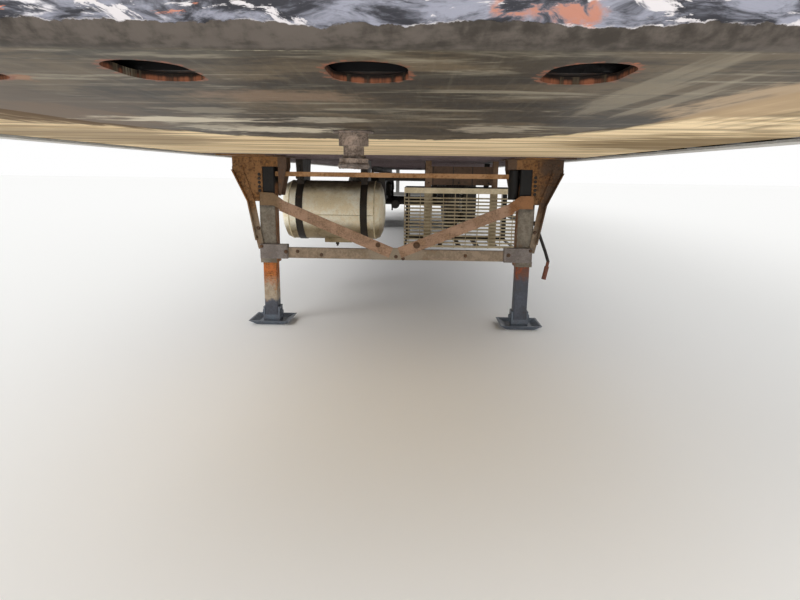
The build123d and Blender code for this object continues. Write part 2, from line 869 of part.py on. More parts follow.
strap_inner = tank_radius + fit
strap_seat = (beam_pitch + beam_flange) / 2
strap_seat_depth = 30
strap_neck = 110
strap_neck_z = tank_centre_z + 150
with BuildPart() as tank_straps:
    with BuildSketch(Plane.YZ.offset(tank_centre_x - strap_spread / 2 - strap_width / 2)):
        with BuildLine():
            Polyline(
                (y_tank - strap_neck, strap_neck_z), (y_tank - strap_seat, beam_bottom - strap_seat_depth),
                (y_tank - strap_seat, beam_bottom), (y_tank + strap_seat, beam_bottom),
                (y_tank + strap_seat, beam_bottom - strap_seat_depth), (y_tank + strap_neck, strap_neck_z),
                close=True,
            )
        make_face()
        with Locations((y_tank, tank_centre_z)):
            Circle(strap_inner + strap_thickness)
            Circle(strap_inner, mode=Mode.SUBTRACT)
    extrude(amount=strap_width)
    mirror(about=Plane.YZ.offset(tank_centre_x))
save(tank_straps, "tank_straps")

# Rack of bar grating: the front grate with its bars, the frame behind it, and hangers under the crossmembers
rack_centre = (rack_left + rack_right) / 2
rack_width = rack_left - rack_right
rack_rise = rack_top - rack_bottom
rack_middle = (rack_bottom + rack_top) / 2
rack_rear = y_rack + rack_depth
y_behind_slats = y_rack + slat_depth
slat_count = int((rack_rise - rack_bar) // slat_pitch)
rod_count = int(rack_width // rod_pitch)
post_places = (rack_left - rack_post_inset, rack_right + rack_post_inset)
with BuildPart() as rack_grate:
    with BuildSketch(across(y_behind_slats)):
        with Locations((rack_centre, rack_top - rack_bar / 2)):
            Rectangle(rack_width, rack_bar)
        with Locations((rack_centre, rack_bottom + slat_count * slat_pitch / 2)):
            with GridLocations(1, slat_pitch, 1, slat_count):
                Rectangle(rack_width, slat_height)
    extrude(amount=slat_depth)
    with BuildSketch(across(y_rack)):
        with Locations((rack_centre, rack_middle)):
            with GridLocations(rod_pitch, 1, rod_count + 1, 1):
                Rectangle(rod_width, rack_rise)
    extrude(amount=rod_width)
save(rack_grate, "rack_grate")

rack_floor = 12
rack_bay_count = 6
rack_side = 6
with BuildPart() as rack_frame:
    with BuildSketch(across(rack_rear)):
        with Locations((rack_centre, rack_middle)):
            Rectangle(rack_width, rack_rise)
            Rectangle(rack_width - 2 * rack_angle, rack_rise - 2 * rack_angle, mode=Mode.SUBTRACT)
    extrude(amount=rack_angle)
    with BuildSketch(across(y_behind_slats + rack_angle)):
        with Locations(*[(x, rack_middle) for x in post_places]):
            Rectangle(rack_post, rack_rise)
    extrude(amount=rack_angle)
    with BuildSketch(Plane.XY.offset(rack_bottom)):
        with Locations((rack_centre, (y_behind_slats + rack_rear) / 2)):
            Rectangle(rack_width, rack_rear - y_behind_slats)
            with GridLocations(rack_width / rack_bay_count, 1, rack_bay_count, 1):
                Rectangle(
                    rack_width / rack_bay_count - rack_angle, rack_rear - y_behind_slats - 2 * rack_angle,
                    mode=Mode.SUBTRACT,
                )
    extrude(amount=rack_floor)
    with BuildSketch(Plane.YZ.offset(rack_right)):
        with Locations(*[((y_behind_slats + rack_rear) / 2, z) for z in (rack_middle, rack_top - rack_angle / 2)]):
            Rectangle(rack_rear - y_behind_slats, rack_angle)
    extrude(amount=rack_side)
    with BuildSketch(Plane.YZ.offset(rack_left)):
        with Locations(*[((y_behind_slats + rack_rear) / 2, z) for z in (rack_middle, rack_top - rack_angle / 2)]):
            Rectangle(rack_rear - y_behind_slats, rack_angle)
    extrude(amount=-rack_side)
save(rack_frame, "rack_frame")

panel_gap = 25
panel_drop = 45
with BuildPart() as rack_hangers:
    for y in (y_behind_slats + hanger_thickness, rack_rear):
        with BuildSketch(across(y)):
            with Locations(*[(x, rack_top) for x in post_places]):
                Rectangle(hanger_width, beam_bottom - rack_top, align=(Align.CENTER, Align.MIN))
        extrude(amount=hanger_thickness)
    with BuildSketch(Plane.XY.offset(beam_bottom)):
        with Locations(*[(x, (y_behind_slats + rack_rear) / 2) for x in post_places]):
            Rectangle(hanger_width, rack_rear - y_behind_slats)
    extrude(amount=-hanger_thickness)
    with BuildSketch(across(y_behind_slats + hanger_thickness)):
        with Locations((sum(post_places) / 2, rack_top + panel_gap)):
            Rectangle(
                post_places[0] - post_places[1], beam_bottom - panel_drop - rack_top - panel_gap,
                align=(Align.CENTER, Align.MIN),
            )
    extrude(amount=hanger_thickness / 2)
save(rack_hangers, "rack_hangers")

# Slider rails under the floor and the bogie frame hung in them
bogie_front = axle_places[0] - bogie_overhang_front
bogie_rear = axle_places[1] + bogie_overhang_rear
body_rail_front = bogie_front - slide_forward
body_rail_rear = min(bogie_rear + slide_rearward, y_frame)
body_rail_bottom = beam_bottom - body_rail_height
bogie_rail_bottom = body_rail_bottom - bogie_rail_height
body_rail_wall = 12
with BuildPart() as body_rails:
    with BuildSketch(across(body_rail_rear)):
        with Locations((bogie_rail_x + bogie_rail_width / 2, body_rail_bottom)):
            Rectangle(bogie_rail_width, body_rail_height, align=(Align.MAX, Align.MIN))
        with Locations((bogie_rail_x + bogie_rail_width / 2 - body_rail_wall, body_rail_bottom + body_rail_wall)):
            Rectangle(
                bogie_rail_width, body_rail_height - 2 * body_rail_wall,
                align=(Align.MAX, Align.MIN), mode=Mode.SUBTRACT,
            )
    extrude(amount=body_rail_rear - body_rail_front)
    mirror(about=Plane.YZ)
save(body_rails, "body_rails")

bogie_member_width = 80
bogie_member_height = 120
bogie_member_rise = 20
pivot_forward = 560
member_places = (bogie_front + 120, axle_places[0] - pivot_forward, axle_places[1] - pivot_forward, bogie_rear - 80)
with BuildPart() as bogie_frame:
    with BuildSketch(across(bogie_rear)):
        with Locations((bogie_rail_x, bogie_rail_bottom), (-bogie_rail_x, bogie_rail_bottom)):
            Rectangle(bogie_rail_width, bogie_rail_height, align=(Align.CENTER, Align.MIN))
    extrude(amount=bogie_rear - bogie_front)
    with BuildSketch(Plane.YZ.offset(-bogie_rail_x)):
        with Locations(*[(y, bogie_rail_bottom + bogie_member_rise) for y in member_places]):
            Rectangle(bogie_member_width, bogie_member_height, align=(Align.CENTER, Align.MIN))
    extrude(amount=2 * bogie_rail_x)
save(bogie_frame, "bogie_frame")

# Air suspension: hanger brackets, trailing arms over the axles, and air springs behind them
pivot_z = tyre_radius + 75
pivot_radius = 44
hanger_drop = 60
hanger_length = 400
spring_x = bogie_rail_x - 20
spring_behind = 385
spring_foot = 75
spring_bulge = 100
spring_neck = 85
arm_seat = 30
with BuildPart() as suspension_hangers:
    for axle in axle_places:
        pivot_y = axle - pivot_forward
        with BuildSketch(Plane.YZ.offset(bogie_rail_x - 50)):
            with BuildLine():
                Polyline(
                    (pivot_y - 130, bogie_rail_bottom), (pivot_y + 110, bogie_rail_bottom),
                    (pivot_y + 60, pivot_z - hanger_drop), (pivot_y - 60, pivot_z - hanger_drop),
                    close=True,
                )
            make_face()
        extrude(amount=100)
        with BuildSketch(Plane.YZ.offset(bogie_rail_x - arm_width / 2 - fit)):
            with Locations((pivot_y, pivot_z - hanger_drop)):
                Rectangle(hanger_length, 130, align=(Align.CENTER, Align.MIN))
        extrude(amount=arm_width + 2 * fit, mode=Mode.SUBTRACT)
    mirror(about=Plane.YZ)
save(suspension_hangers, "suspension_hangers")

arm_crown = tyre_radius + axle_tube_radius + 60
arm_belly = tyre_radius + axle_tube_radius - 30
with BuildPart() as trailing_arms:
    with BuildSketch(Plane.YZ.offset(bogie_rail_x - arm_width / 2)):
        for axle in axle_places:
            pivot_y = axle - pivot_forward
            with Locations((pivot_y, pivot_z)):
                Circle(pivot_radius)
            with BuildLine():
                Polyline(
                    (pivot_y, pivot_z - pivot_radius), (pivot_y, pivot_z + pivot_radius),
                    (axle - 90, arm_crown), (axle + 90, arm_crown),
                    (axle + spring_behind - 90, pivot_z + arm_seat), (axle + spring_behind + 80, pivot_z + arm_seat),
                    (axle + spring_behind + 80, pivot_z - 20), (axle + 90, arm_belly), (axle - 90, arm_belly),
                    close=True,
                )
            make_face()
            with Locations((axle, tyre_radius)):
                Circle(axle_tube_radius, mode=Mode.SUBTRACT)
    extrude(amount=arm_width)
    mirror(about=Plane.YZ)
save(trailing_arms, "trailing_arms")

spring_base = pivot_z + arm_seat
with BuildPart() as air_springs:
    for axle in axle_places:
        with BuildSketch(across(axle + spring_behind)):
            with BuildLine():
                Polyline(
                    (spring_x, spring_base), (spring_x + spring_foot, spring_base),
                    (spring_x + spring_foot, spring_base + 70), (spring_x + spring_bulge, spring_base + 95),
                    (spring_x + spring_bulge, spring_base + 190), (spring_x + spring_neck, bogie_rail_bottom),
                    (spring_x, bogie_rail_bottom),
                    close=True,
                )
            make_face()
        revolve(axis=Axis((spring_x, axle + spring_behind, 0), (0, 0, 1)))
    mirror(about=Plane.YZ)
save(air_springs, "air_springs")

# Axles with spindles, brake spiders, camshafts and chamber brackets
spider_x = dual_half_track - drum_length - 40
spider_radius = 150
spider_thickness = 14
spindle_end = dual_half_track + 70
camshaft_radius = 20
cam_forward = 120
cam_z = tyre_radius - 20
chamber_x = 330
chamber_z = cam_z - 30
chamber_radius = 85
chamber_step = 12
chamber_length = 200
chamber_bracket = 24
with BuildPart() as axles:
    with BuildSketch(Plane.YZ.offset(-spider_x)):
        with Locations(*[(axle, tyre_radius) for axle in axle_places]):
            Circle(axle_tube_radius)
    extrude(amount=2 * spider_x)
    with BuildSketch(Plane.YZ.offset(-spindle_end)):
        with Locations(*[(axle, tyre_radius) for axle in axle_places]):
            Circle(spindle_radius)
    extrude(amount=2 * spindle_end)
    for side in (1, -1):
        with BuildSketch(Plane.YZ.offset(side * spider_x)):
            with Locations(*[(axle, tyre_radius) for axle in axle_places]):
                RegularPolygon(spider_radius, 8, rotation=22.5)
        extrude(amount=side * spider_thickness)
        with BuildSketch(Plane.YZ.offset(side * chamber_x)):
            with Locations(*[(axle - cam_forward, cam_z) for axle in axle_places]):
                Circle(camshaft_radius)
        extrude(amount=side * (spider_x - chamber_x))
        with BuildSketch(Plane.YZ.offset(side * (chamber_x - chamber_bracket / 2))):
            with Locations(*[(axle, chamber_z) for axle in axle_places]):
                Rectangle(cam_forward + 40, 70, align=(Align.MAX, Align.CENTER))
        extrude(amount=side * chamber_bracket)
save(axles, "axles")

with BuildPart() as brake_chambers:
    for axle in axle_places:
        chamber_start = axle - cam_forward - 40
        for start, radius in ((0, chamber_radius), (chamber_length / 2, chamber_radius - chamber_step)):
            with BuildSketch(across(chamber_start - start)):
                with Locations((chamber_x, chamber_z)):
                    Circle(radius)
            extrude(amount=chamber_length / 2)
    mirror(about=Plane.YZ)
save(brake_chambers, "brake_chambers")

# Wheels: two dished steel discs back to back on each hub, with the closed drum and the rims
disc_thickness = 11
disc_flat = 172
disc_rim_x = (dual_spacing - rim_width) / 2 + 50
disc_rim_r = bead_radius - rim_wall + 6
hub_bore = spindle_radius + fit
hub_radius = 105
hub_length = 95
disc_profile = (
    (0, hub_radius), (disc_thickness, hub_radius), (disc_thickness, disc_flat), (disc_rim_x, disc_rim_r),
    (disc_rim_x - 20, disc_rim_r), (0, disc_flat + 16),
)
hub_profile = (
    (-drum_length, hub_bore), (-drum_length, drum_radius), (-36, drum_radius), (-36, 165),
    (-disc_thickness, 165), (-disc_thickness, hub_radius), (hub_length, hub_radius),
    (hub_length, 0), (hub_length - 14, 0), (hub_length - 14, hub_bore),
)
tyre_half = tyre_width / 2
bead_half = rim_width / 2 - 8
sidewall_r = (bead_radius + tyre_radius) / 2
shoulder_half = tyre_half - 20
shoulder_drop = 14
wheel_table = [
    (f"{end}_{name}", side, axle)
    for end, axle in zip(("front", "rear"), axle_places)
    for name, side in (("left", 1), ("right", -1))
]
for name, side, axle in wheel_table:
    hub_x = side * dual_half_track
    with BuildPart() as wheel:
        with BuildSketch(Plane(origin=(0, axle, tyre_radius), x_dir=(1, 0, 0), z_dir=(0, 1, 0))):
            for profile, flip in ((disc_profile, 1), (disc_profile, -1), (hub_profile, 1)):
                with BuildLine():
                    Polyline(*[(hub_x + side * flip * x, r) for x, r in profile], close=True)
                make_face()
            with Locations(*[(hub_x + flip * dual_spacing / 2, bead_radius - rim_wall) for flip in (1, -1)]):
                Rectangle(rim_width, rim_wall, align=(Align.CENTER, Align.MIN))
        revolve(axis=Axis((0, axle, tyre_radius), (1, 0, 0)))
    save(wheel, f"wheels_{name}")

    with BuildPart() as tyres:
        with BuildSketch(Plane(origin=(0, axle, tyre_radius), x_dir=(1, 0, 0), z_dir=(0, 1, 0))):
            for middle in (hub_x - dual_spacing / 2, hub_x + dual_spacing / 2):
                with BuildLine():
                    Polyline(
                        (middle - bead_half, bead_radius + fit), (middle + bead_half, bead_radius + fit),
                        (middle + tyre_half, sidewall_r), (middle + shoulder_half, tyre_radius),
                        (middle - shoulder_half, tyre_radius), (middle - tyre_half, sidewall_r),
                        close=True,
                    )
                make_face()
        revolve(axis=Axis((0, axle, tyre_radius), (1, 0, 0)))
    save(tyres, f"tyres_{name}")

# Mud flaps behind the bogie on brackets that hang from the crossmembers
y_flap = axle_places[1] + 780
flap_width = 600
flap_bottom = 240
flap_top = 1000
flap_thickness = 10
flap_bar = 60
flap_post_depth = 40
with BuildPart() as mud_flaps:
    with BuildSketch(across(y_flap)):
        with Locations((dual_half_track, flap_bottom)):
            Rectangle(flap_width, flap_top - flap_bottom, align=(Align.CENTER, Align.MIN))
    extrude(amount=flap_thickness)
    mirror(about=Plane.YZ)
save(mud_flaps, "mud_flaps")

with BuildPart() as flap_brackets:
    with BuildSketch(across(y_flap - flap_thickness)):
        with Locations((dual_half_track, flap_top - flap_bar / 2)):
            Rectangle(flap_width, flap_bar)
        with Locations((dual_half_track, flap_top)):
            Rectangle(flap_bar, beam_bottom - flap_top, align=(Align.CENTER, Align.MIN))
    extrude(amount=flap_post_depth)
    with BuildSketch(Plane.XY.offset(beam_bottom)):
        with Locations((dual_half_track, y_flap - flap_thickness - flap_post_depth / 2)):
            Rectangle(flap_bar, beam_pitch + beam_flange)
    extrude(amount=-bracket_plate)
    mirror(about=Plane.YZ)
save(flap_brackets, "flap_brackets")

# Rear underride guard
guard_half = 1170
guard_bottom = 460
guard_height = 100
guard_depth = 100
guard_post_x = 480
guard_setback = 20
with BuildPart() as rear_guard:
    with BuildSketch(across(y_rear - guard_setback)):
        with Locations((0, guard_bottom)):
            Rectangle(2 * guard_half, guard_height, align=(Align.CENTER, Align.MIN))
        with Locations((-guard_post_x, guard_bottom), (guard_post_x, guard_bottom)):
            Rectangle(guard_height, rail_bottom - guard_bottom, align=(Align.CENTER, Align.MIN))
    extrude(amount=guard_depth)
save(rear_guard, "rear_guard")

# Lamps: red at the rear, amber along the sides
lamp_proud = 8
tail_lamp_radius = 52
tail_lamp_z = rail_bottom + 60
tail_lamp_places = (560, 690, 820)
marker_width = 110
marker_height = 40
marker_z = header_z + header_height / 2
marker_places = (-1180, -170, 0, 170, 1180)
side_marker_z = rail_bottom + 130
side_marker_margin = 1500
with BuildPart() as lamps_red:
    with BuildSketch(across(y_rear)):
        with Locations(*[(side * x, tail_lamp_z) for side in (1, -1) for x in tail_lamp_places]):
            Circle(tail_lamp_radius)
        with Locations(*[(x, marker_z) for x in marker_places]):
            Rectangle(marker_width, marker_height)
    extrude(amount=-lamp_proud)
save(lamps_red, "lamps_red")

with BuildPart() as lamps_amber:
    with BuildSketch(Plane.YZ.offset(rail_x)):
        with Locations(*[(y, side_marker_z) for y in spaced(y_nose + side_marker_margin, y_frame - side_marker_margin, 3)]):
            Rectangle(marker_width, marker_height)
    extrude(amount=lamp_proud)
    mirror(about=Plane.YZ)
save(lamps_amber, "lamps_amber")
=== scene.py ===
import bmesh
import bpy
from math import atan2, cos, pi, radians, sin
from mathutils import Matrix, Vector


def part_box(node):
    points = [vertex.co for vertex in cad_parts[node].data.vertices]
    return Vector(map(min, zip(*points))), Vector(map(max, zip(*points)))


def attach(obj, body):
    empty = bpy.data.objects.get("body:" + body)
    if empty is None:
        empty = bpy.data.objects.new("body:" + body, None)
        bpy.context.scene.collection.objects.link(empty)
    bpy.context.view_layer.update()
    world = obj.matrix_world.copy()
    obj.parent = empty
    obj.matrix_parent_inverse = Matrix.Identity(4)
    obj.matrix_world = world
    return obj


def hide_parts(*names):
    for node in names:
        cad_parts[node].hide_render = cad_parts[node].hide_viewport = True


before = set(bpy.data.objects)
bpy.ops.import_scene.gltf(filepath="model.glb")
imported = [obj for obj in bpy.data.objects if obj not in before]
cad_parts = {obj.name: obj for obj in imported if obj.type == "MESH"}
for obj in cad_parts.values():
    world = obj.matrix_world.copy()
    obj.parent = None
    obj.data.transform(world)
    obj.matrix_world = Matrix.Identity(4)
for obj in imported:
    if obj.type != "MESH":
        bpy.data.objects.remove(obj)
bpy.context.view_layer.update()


print("frame loaded:", len(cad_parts), "nodes")


# Shader nodes. A number or tuple is set on its socket, anything else is linked to it.
def treeOf(*items):
    return next(item.id_data for item in items if isinstance(item, bpy.types.NodeSocket))


def newNode(tree, kind, values, **settings):
    node = tree.nodes.new("ShaderNode" + kind)
    for key, value in settings.items():
        setattr(node, key, value)
    for socket, item in values.items():
        if isinstance(item, (int, float, tuple)):
            node.inputs[socket].default_value = item
        elif item is not None:
            tree.links.new(item, node.inputs[socket])
    return node


def noiseNode(coords, scale, detail=4.0, roughness=0.55, distortion=0.0):
    values = {"Vector": coords, "Scale": scale, "Detail": detail, "Roughness": roughness, "Distortion": distortion}
    return newNode(treeOf(coords), "TexNoise", values).outputs["Fac"]


def stretchedNoise(coords, stretch, scale, detail, roughness, distortion=0.0):
    mapping = newNode(treeOf(coords), "Mapping", {"Vector": coords, "Scale": stretch})
    return noiseNode(mapping.outputs["Vector"], scale, detail, roughness, distortion)


def mathNode(operation, first, second=None, third=None, clamp=False):
    tree = treeOf(first, second, third)
    node = newNode(tree, "Math", {0: first, 1: second, 2: third}, operation=operation, use_clamp=clamp)
    return node.outputs["Value"]


def add(first, second):
    return mathNode("ADD", first, second)


def subtract(first, second):
    return mathNode("SUBTRACT", first, second)


def multiply(first, second):
    return mathNode("MULTIPLY", first, second)


def scaledPlus(value, factor, rest):
    return mathNode("MULTIPLY_ADD", value, factor, rest)


def vectorNode(operation, first, second=None):
    node = newNode(treeOf(first), "VectorMath", {0: first, 1: second}, operation=operation)
    return node.outputs["Value" if operation in ("DOT_PRODUCT", "LENGTH") else "Vector"]


def splitCoords(coords):
    node = newNode(treeOf(coords), "SeparateXYZ", {"Vector": coords})
    return [node.outputs[axis] for axis in "XYZ"]


def joinCoords(x, y, z=0.0):
    return newNode(treeOf(x), "CombineXYZ", {"X": x, "Y": y, "Z": z}).outputs["Vector"]


def rangeNode(value, low, high, toLow=0.0, toHigh=1.0):
    values = {"Value": value, "From Min": low, "From Max": high, "To Min": toLow, "To Max": toHigh}
    return newNode(treeOf(value), "MapRange", values, interpolation_type="SMOOTHSTEP").outputs["Result"]


def mixColor(factor, first, second):
    return newNode(treeOf(factor), "Mix", {0: factor, 6: first, 7: second}, data_type="RGBA").outputs[2]


def newGroup(name, inputs, outputs):
    # the kind of an input follows from its start value: number, vector or colour
    group = bpy.data.node_groups.new(name, "ShaderNodeTree")
    for label, value in inputs.items():
        kind = "Float" if isinstance(value, float) else "Vector" if len(value) == 3 else "Color"
        group.interface.new_socket(label, in_out="INPUT", socket_type="NodeSocket" + kind).default_value = value
    for label, kind in outputs.items():
        group.interface.new_socket(label, in_out="OUTPUT", socket_type="NodeSocket" + kind)
    return group, group.nodes.new("NodeGroupInput").outputs, group.nodes.new("NodeGroupOutput").inputs


def groupNode(group, coords, values):
    node = treeOf(coords).nodes.new("ShaderNodeGroup")
    node.node_tree = group
    treeOf(coords).links.new(coords, node.inputs["coords"])
    for label, value in values.items():
        node.inputs[label].default_value = value
    return node.outputs


def newMaterial(name):
    mat = bpy.data.materials.new(name)
    mat.use_nodes = True
    coords = mat.node_tree.nodes.new("ShaderNodeTexCoord").outputs["Object"]
    return mat, mat.node_tree.nodes["Principled BSDF"], coords


def addBump(shader, height, strength, distance):
    values = {"Height": height, "Strength": strength, "Distance": distance}
    treeOf(height).links.new(newNode(treeOf(height), "Bump", values).outputs["Normal"], shader.inputs["Normal"])


def srgb(text):
    # a colour written as hex, turned to linear values
    parts = [int(text[i:i + 2], 16) / 255 for i in (0, 2, 4)]
    return tuple(p / 12.92 if p <= 0.04045 else ((p + 0.055) / 1.055) ** 2.4 for p in parts) + (1.0,)


# Studio: pale floor, soft light and the photograph's view
studio = {
    "floorSize": 160.0,
    "floorColor": (0.92, 0.92, 0.91, 1),
    "floorRoughness": 0.9,
    "worldColor": (1.0, 1.0, 1.0, 1),
    "worldStrength": 0.88,
    "sunStrength": 0.8,
    "sunTilt": (radians(48), radians(-20), radians(-25)),
    "sunAngle": radians(30),
    "fillWidth": 6.0,
    "fillTall": 0.4,
    "fillPower": 62.0,
    "fillHeight": 0.25,
    "fillAhead": 2.7,
    "fillTurn": radians(68),
}
view = {
    "sensor": 36,
    "focal": 560 / 800 * 36,  # for a frame 800 pixels wide
    "nearest": 0.02,
    "pitch": radians(12.74),
    "yaw": radians(1.85),
    "roll": radians(0.76),
    "aheadOfPin": 1.424,
    "sideways": 0.165,
    "height": 1.091,
}
pinLow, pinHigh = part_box("kingpin")
pinY = (pinLow.y + pinHigh.y) / 2


def makeCamera():
    data = bpy.data.cameras.new("viewCamera")
    data.sensor_width = view["sensor"]
    data.lens = view["focal"]
    data.clip_start = view["nearest"]
    camera = bpy.data.objects.new("viewCamera", data)
    bpy.context.scene.collection.objects.link(camera)
    pitch, yaw, roll = view["pitch"], view["yaw"], view["roll"]
    ahead = Vector((-sin(yaw) * cos(pitch), cos(yaw) * cos(pitch), -sin(pitch)))
    level = ahead.cross(Vector((0, 0, 1))).normalized()
    upward = level.cross(ahead)
    right = cos(roll) * level + sin(roll) * upward
    up = cos(roll) * upward - sin(roll) * level
    place = Vector((view["sideways"], pinY - view["aheadOfPin"], view["height"]))
    rows = [(right[i], up[i], -ahead[i], place[i]) for i in range(3)]
    camera.matrix_world = Matrix(rows + [(0, 0, 0, 1)])
    bpy.context.scene.camera = camera


def addLight(name, kind, place, turn, **settings):
    data = bpy.data.lights.new(name, kind)
    for key, value in settings.items():
        setattr(data, key, value)
    light = bpy.data.objects.new(name, data)
    light.location = place
    light.rotation_euler = turn
    bpy.context.scene.collection.objects.link(light)


def makeStudio():
    bpy.ops.mesh.primitive_plane_add(size=studio["floorSize"], location=(0, 0, 0))
    floor = bpy.context.object
    floor.name = "studioFloor"
    mat, shader = newMaterial("studioFloor")[:2]
    shader.inputs["Base Color"].default_value = studio["floorColor"]
    shader.inputs["Roughness"].default_value = studio["floorRoughness"]
    floor.data.materials.append(mat)

    world = bpy.data.worlds.new("studioWorld")
    bpy.context.scene.world = world
    world.use_nodes = True
    tree = world.node_tree
    light = tree.nodes["Background"]
    light.inputs["Color"].default_value = studio["worldColor"]
    light.inputs["Strength"].default_value = studio["worldStrength"]
    shown = newNode(tree, "Background", {"Color": (1, 1, 1, 1), "Strength": 1.0})
    rays = tree.nodes.new("ShaderNodeLightPath").outputs
    clear = mathNode("MAXIMUM", rays["Is Camera Ray"], rays["Is Glossy Ray"])
    clear = mathNode("MAXIMUM", clear, rays["Is Transmission Ray"])
    backdrop = newNode(tree, "MixShader", {0: clear, 1: light.outputs["Background"], 2: shown.outputs["Background"]})
    tree.links.new(backdrop.outputs["Shader"], tree.nodes["World Output"].inputs["Surface"])

    addLight("softSun", "SUN", (0, 0, 0), studio["sunTilt"], energy=studio["sunStrength"], angle=studio["sunAngle"])
    addLight(
        "lowFill", "AREA", (0, pinY - studio["fillAhead"], studio["fillHeight"]), (studio["fillTurn"], 0, 0),
        energy=studio["fillPower"], shape="RECTANGLE", size=studio["fillWidth"], size_y=studio["fillTall"],
    )


makeCamera()
makeStudio()
bpy.context.scene.view_settings.view_transform = "Standard"
print("studio and camera ready")


# Worn steel: paint in two tones, rust that breaks through it, pits and dust
def makeWornSteel():
    group, start, end = newGroup(
        "wornSteel",
        {
            "coords": (0, 0, 0), "paint": (0.1, 0.1, 0.1, 1), "paintShade": (0.05, 0.05, 0.05, 1),
            "rust": (0.3, 0.13, 0.05, 1), "rustShade": (0.12, 0.05, 0.03, 1), "dust": (0.4, 0.33, 0.22, 1),
            "rustAmount": 0.3, "dustAmount": 0.3, "scale": 6.0,
        },
        {"color": "Color", "roughness": "Float", "height": "Float"},
    )
    coords, scale = start["coords"], start["scale"]
    broad = noiseNode(coords, scale, 5, 0.6, 0.3)
    fine = noiseNode(coords, multiply(scale, 7.0), 4, 0.65)
    speck = noiseNode(coords, multiply(scale, 30.0), 3, 0.7)
    blotch = add(multiply(broad, 0.65), multiply(fine, 0.35))
    paint = mixColor(rangeNode(blotch, 0.40, 0.60), start["paint"], start["paintShade"])
    rustStart = scaledPlus(subtract(1.0, start["rustAmount"]), 0.5, 0.22)
    spread = add(multiply(broad, 0.6), multiply(fine, 0.4))
    rustMask = rangeNode(spread, rustStart, add(rustStart, 0.07))
    rust = mixColor(rangeNode(fine, 0.35, 0.65), start["rust"], start["rustShade"])
    color = mixColor(rustMask, paint, rust)
    pits = rangeNode(speck, 0.58, 0.68, 0.0, 0.55)
    color = mixColor(pits, color, vectorNode("MULTIPLY", color, (0.35, 0.35, 0.35)))
    dustSpread = rangeNode(add(multiply(speck, 0.5), multiply(broad, 0.5)), 0.35, 0.65)
    dustMask = mathNode("MULTIPLY", dustSpread, start["dustAmount"], clamp=True)
    group.links.new(mixColor(dustMask, color, start["dust"]), end["color"])
    rough = add(multiply(rustMask, 0.3), multiply(dustMask, 0.4))
    group.links.new(mathNode("ADD", rough, 0.42, clamp=True), end["roughness"])
    group.links.new(add(multiply(rustMask, 0.5), multiply(fine, 0.5)), end["height"])
    return group


def makeZone():
    # rises from 0 to 1 along an axis between two places, with a ragged border
    group, start, end = newGroup(
        "zone",
        {"coords": (0, 0, 0), "axis": (0, 0, 1), "start": 0.0, "end": 1.0, "ragged": 0.05, "grain": 12.0},
        {"mask": "Float"},
    )
    along = vectorNode("DOT_PRODUCT", start["coords"], start["axis"])
    border = multiply(subtract(noiseNode(start["coords"], start["grain"], 5, 0.62), 0.5), start["ragged"])
    group.links.new(rangeNode(scaledPlus(border, 2.0, along), start["start"], start["end"]), end["mask"])
    return group


wornSteel, zone = makeWornSteel(), makeZone()


def wornMaterial(name, values):
    mat, shader, coords = newMaterial(name)
    links = mat.node_tree.links
    base = groupNode(wornSteel, coords, values["steel"])
    color, rough = base["color"], base["roughness"]
    for over in values.get("zones", ()):
        x, y, z = splitCoords(coords)
        place = joinCoords(mathNode("ABSOLUTE", x), y, z) if over["mirrored"] else coords
        mask = groupNode(zone, place, over["zone"])["mask"]
        if over["side"]:
            mask = multiply(mask, mathNode("GREATER_THAN", multiply(x, over["side"]), 0.0))
        skin = groupNode(wornSteel, coords, over["steel"])
        color = mixColor(mask, color, skin["color"])
        rough = mixColor(mask, rough, skin["roughness"])
    links.new(color, shader.inputs["Base Color"])
    links.new(rough, shader.inputs["Roughness"])
    shader.inputs["Metallic"].default_value = values.get("metallic", 0.0)
    shader.inputs["Specular IOR Level"].default_value = values.get("specular", 0.18)
    addBump(shader, base["height"], values.get("bump", 0.3), 0.004)
    return mat


def steelLook(tones, rustAmount, dustAmount, scale):
    look = dict(zip(("paint", "paintShade", "rust", "rustShade", "dust"), map(srgb, tones.split())))
    return {**look, "rustAmount": rustAmount, "dustAmount": dustAmount, "scale": scale}


# Looks of steel: paint, its shade, rust, its shade and dust, then amounts of rust and dust, and the scale
blackPaint = steelLook("0f0d0b 090807 4a2f20 2e1e16 54493c", 0.2, 0.12, 5.0)
greyBrown = steelLook("837a6c 514a41 8d5f3c 5e3f2c 968b79", 0.3, 0.4, 10.0)
orangeRust = steelLook("8c6238 543a26 9c6a3c 4c3222 86683f", 0.5, 0.3, 9.0)
darkRust = steelLook("3c2a20 281c16 5e3d28 402a1d 6b573f", 0.4, 0.2, 6.0)
panelPale = steelLook("85684f 6d533f 8f6a4a 553f30 8f7a60", 0.35, 0.3, 7.0)


def layer(axis, start, end, ragged, steel, grain=12.0, side=0, mirrored=False):
    # another look from start to end along an axis, in the CAD's metres; side 1 or -1 is one side of the trailer only
    direction = tuple(float(letter == axis) for letter in "XYZ")
    zone = {"axis": direction, "start": start, "end": end, "ragged": ragged, "grain": grain}
    return {"zone": zone, "steel": steel, "side": side, "mirrored": mirrored}


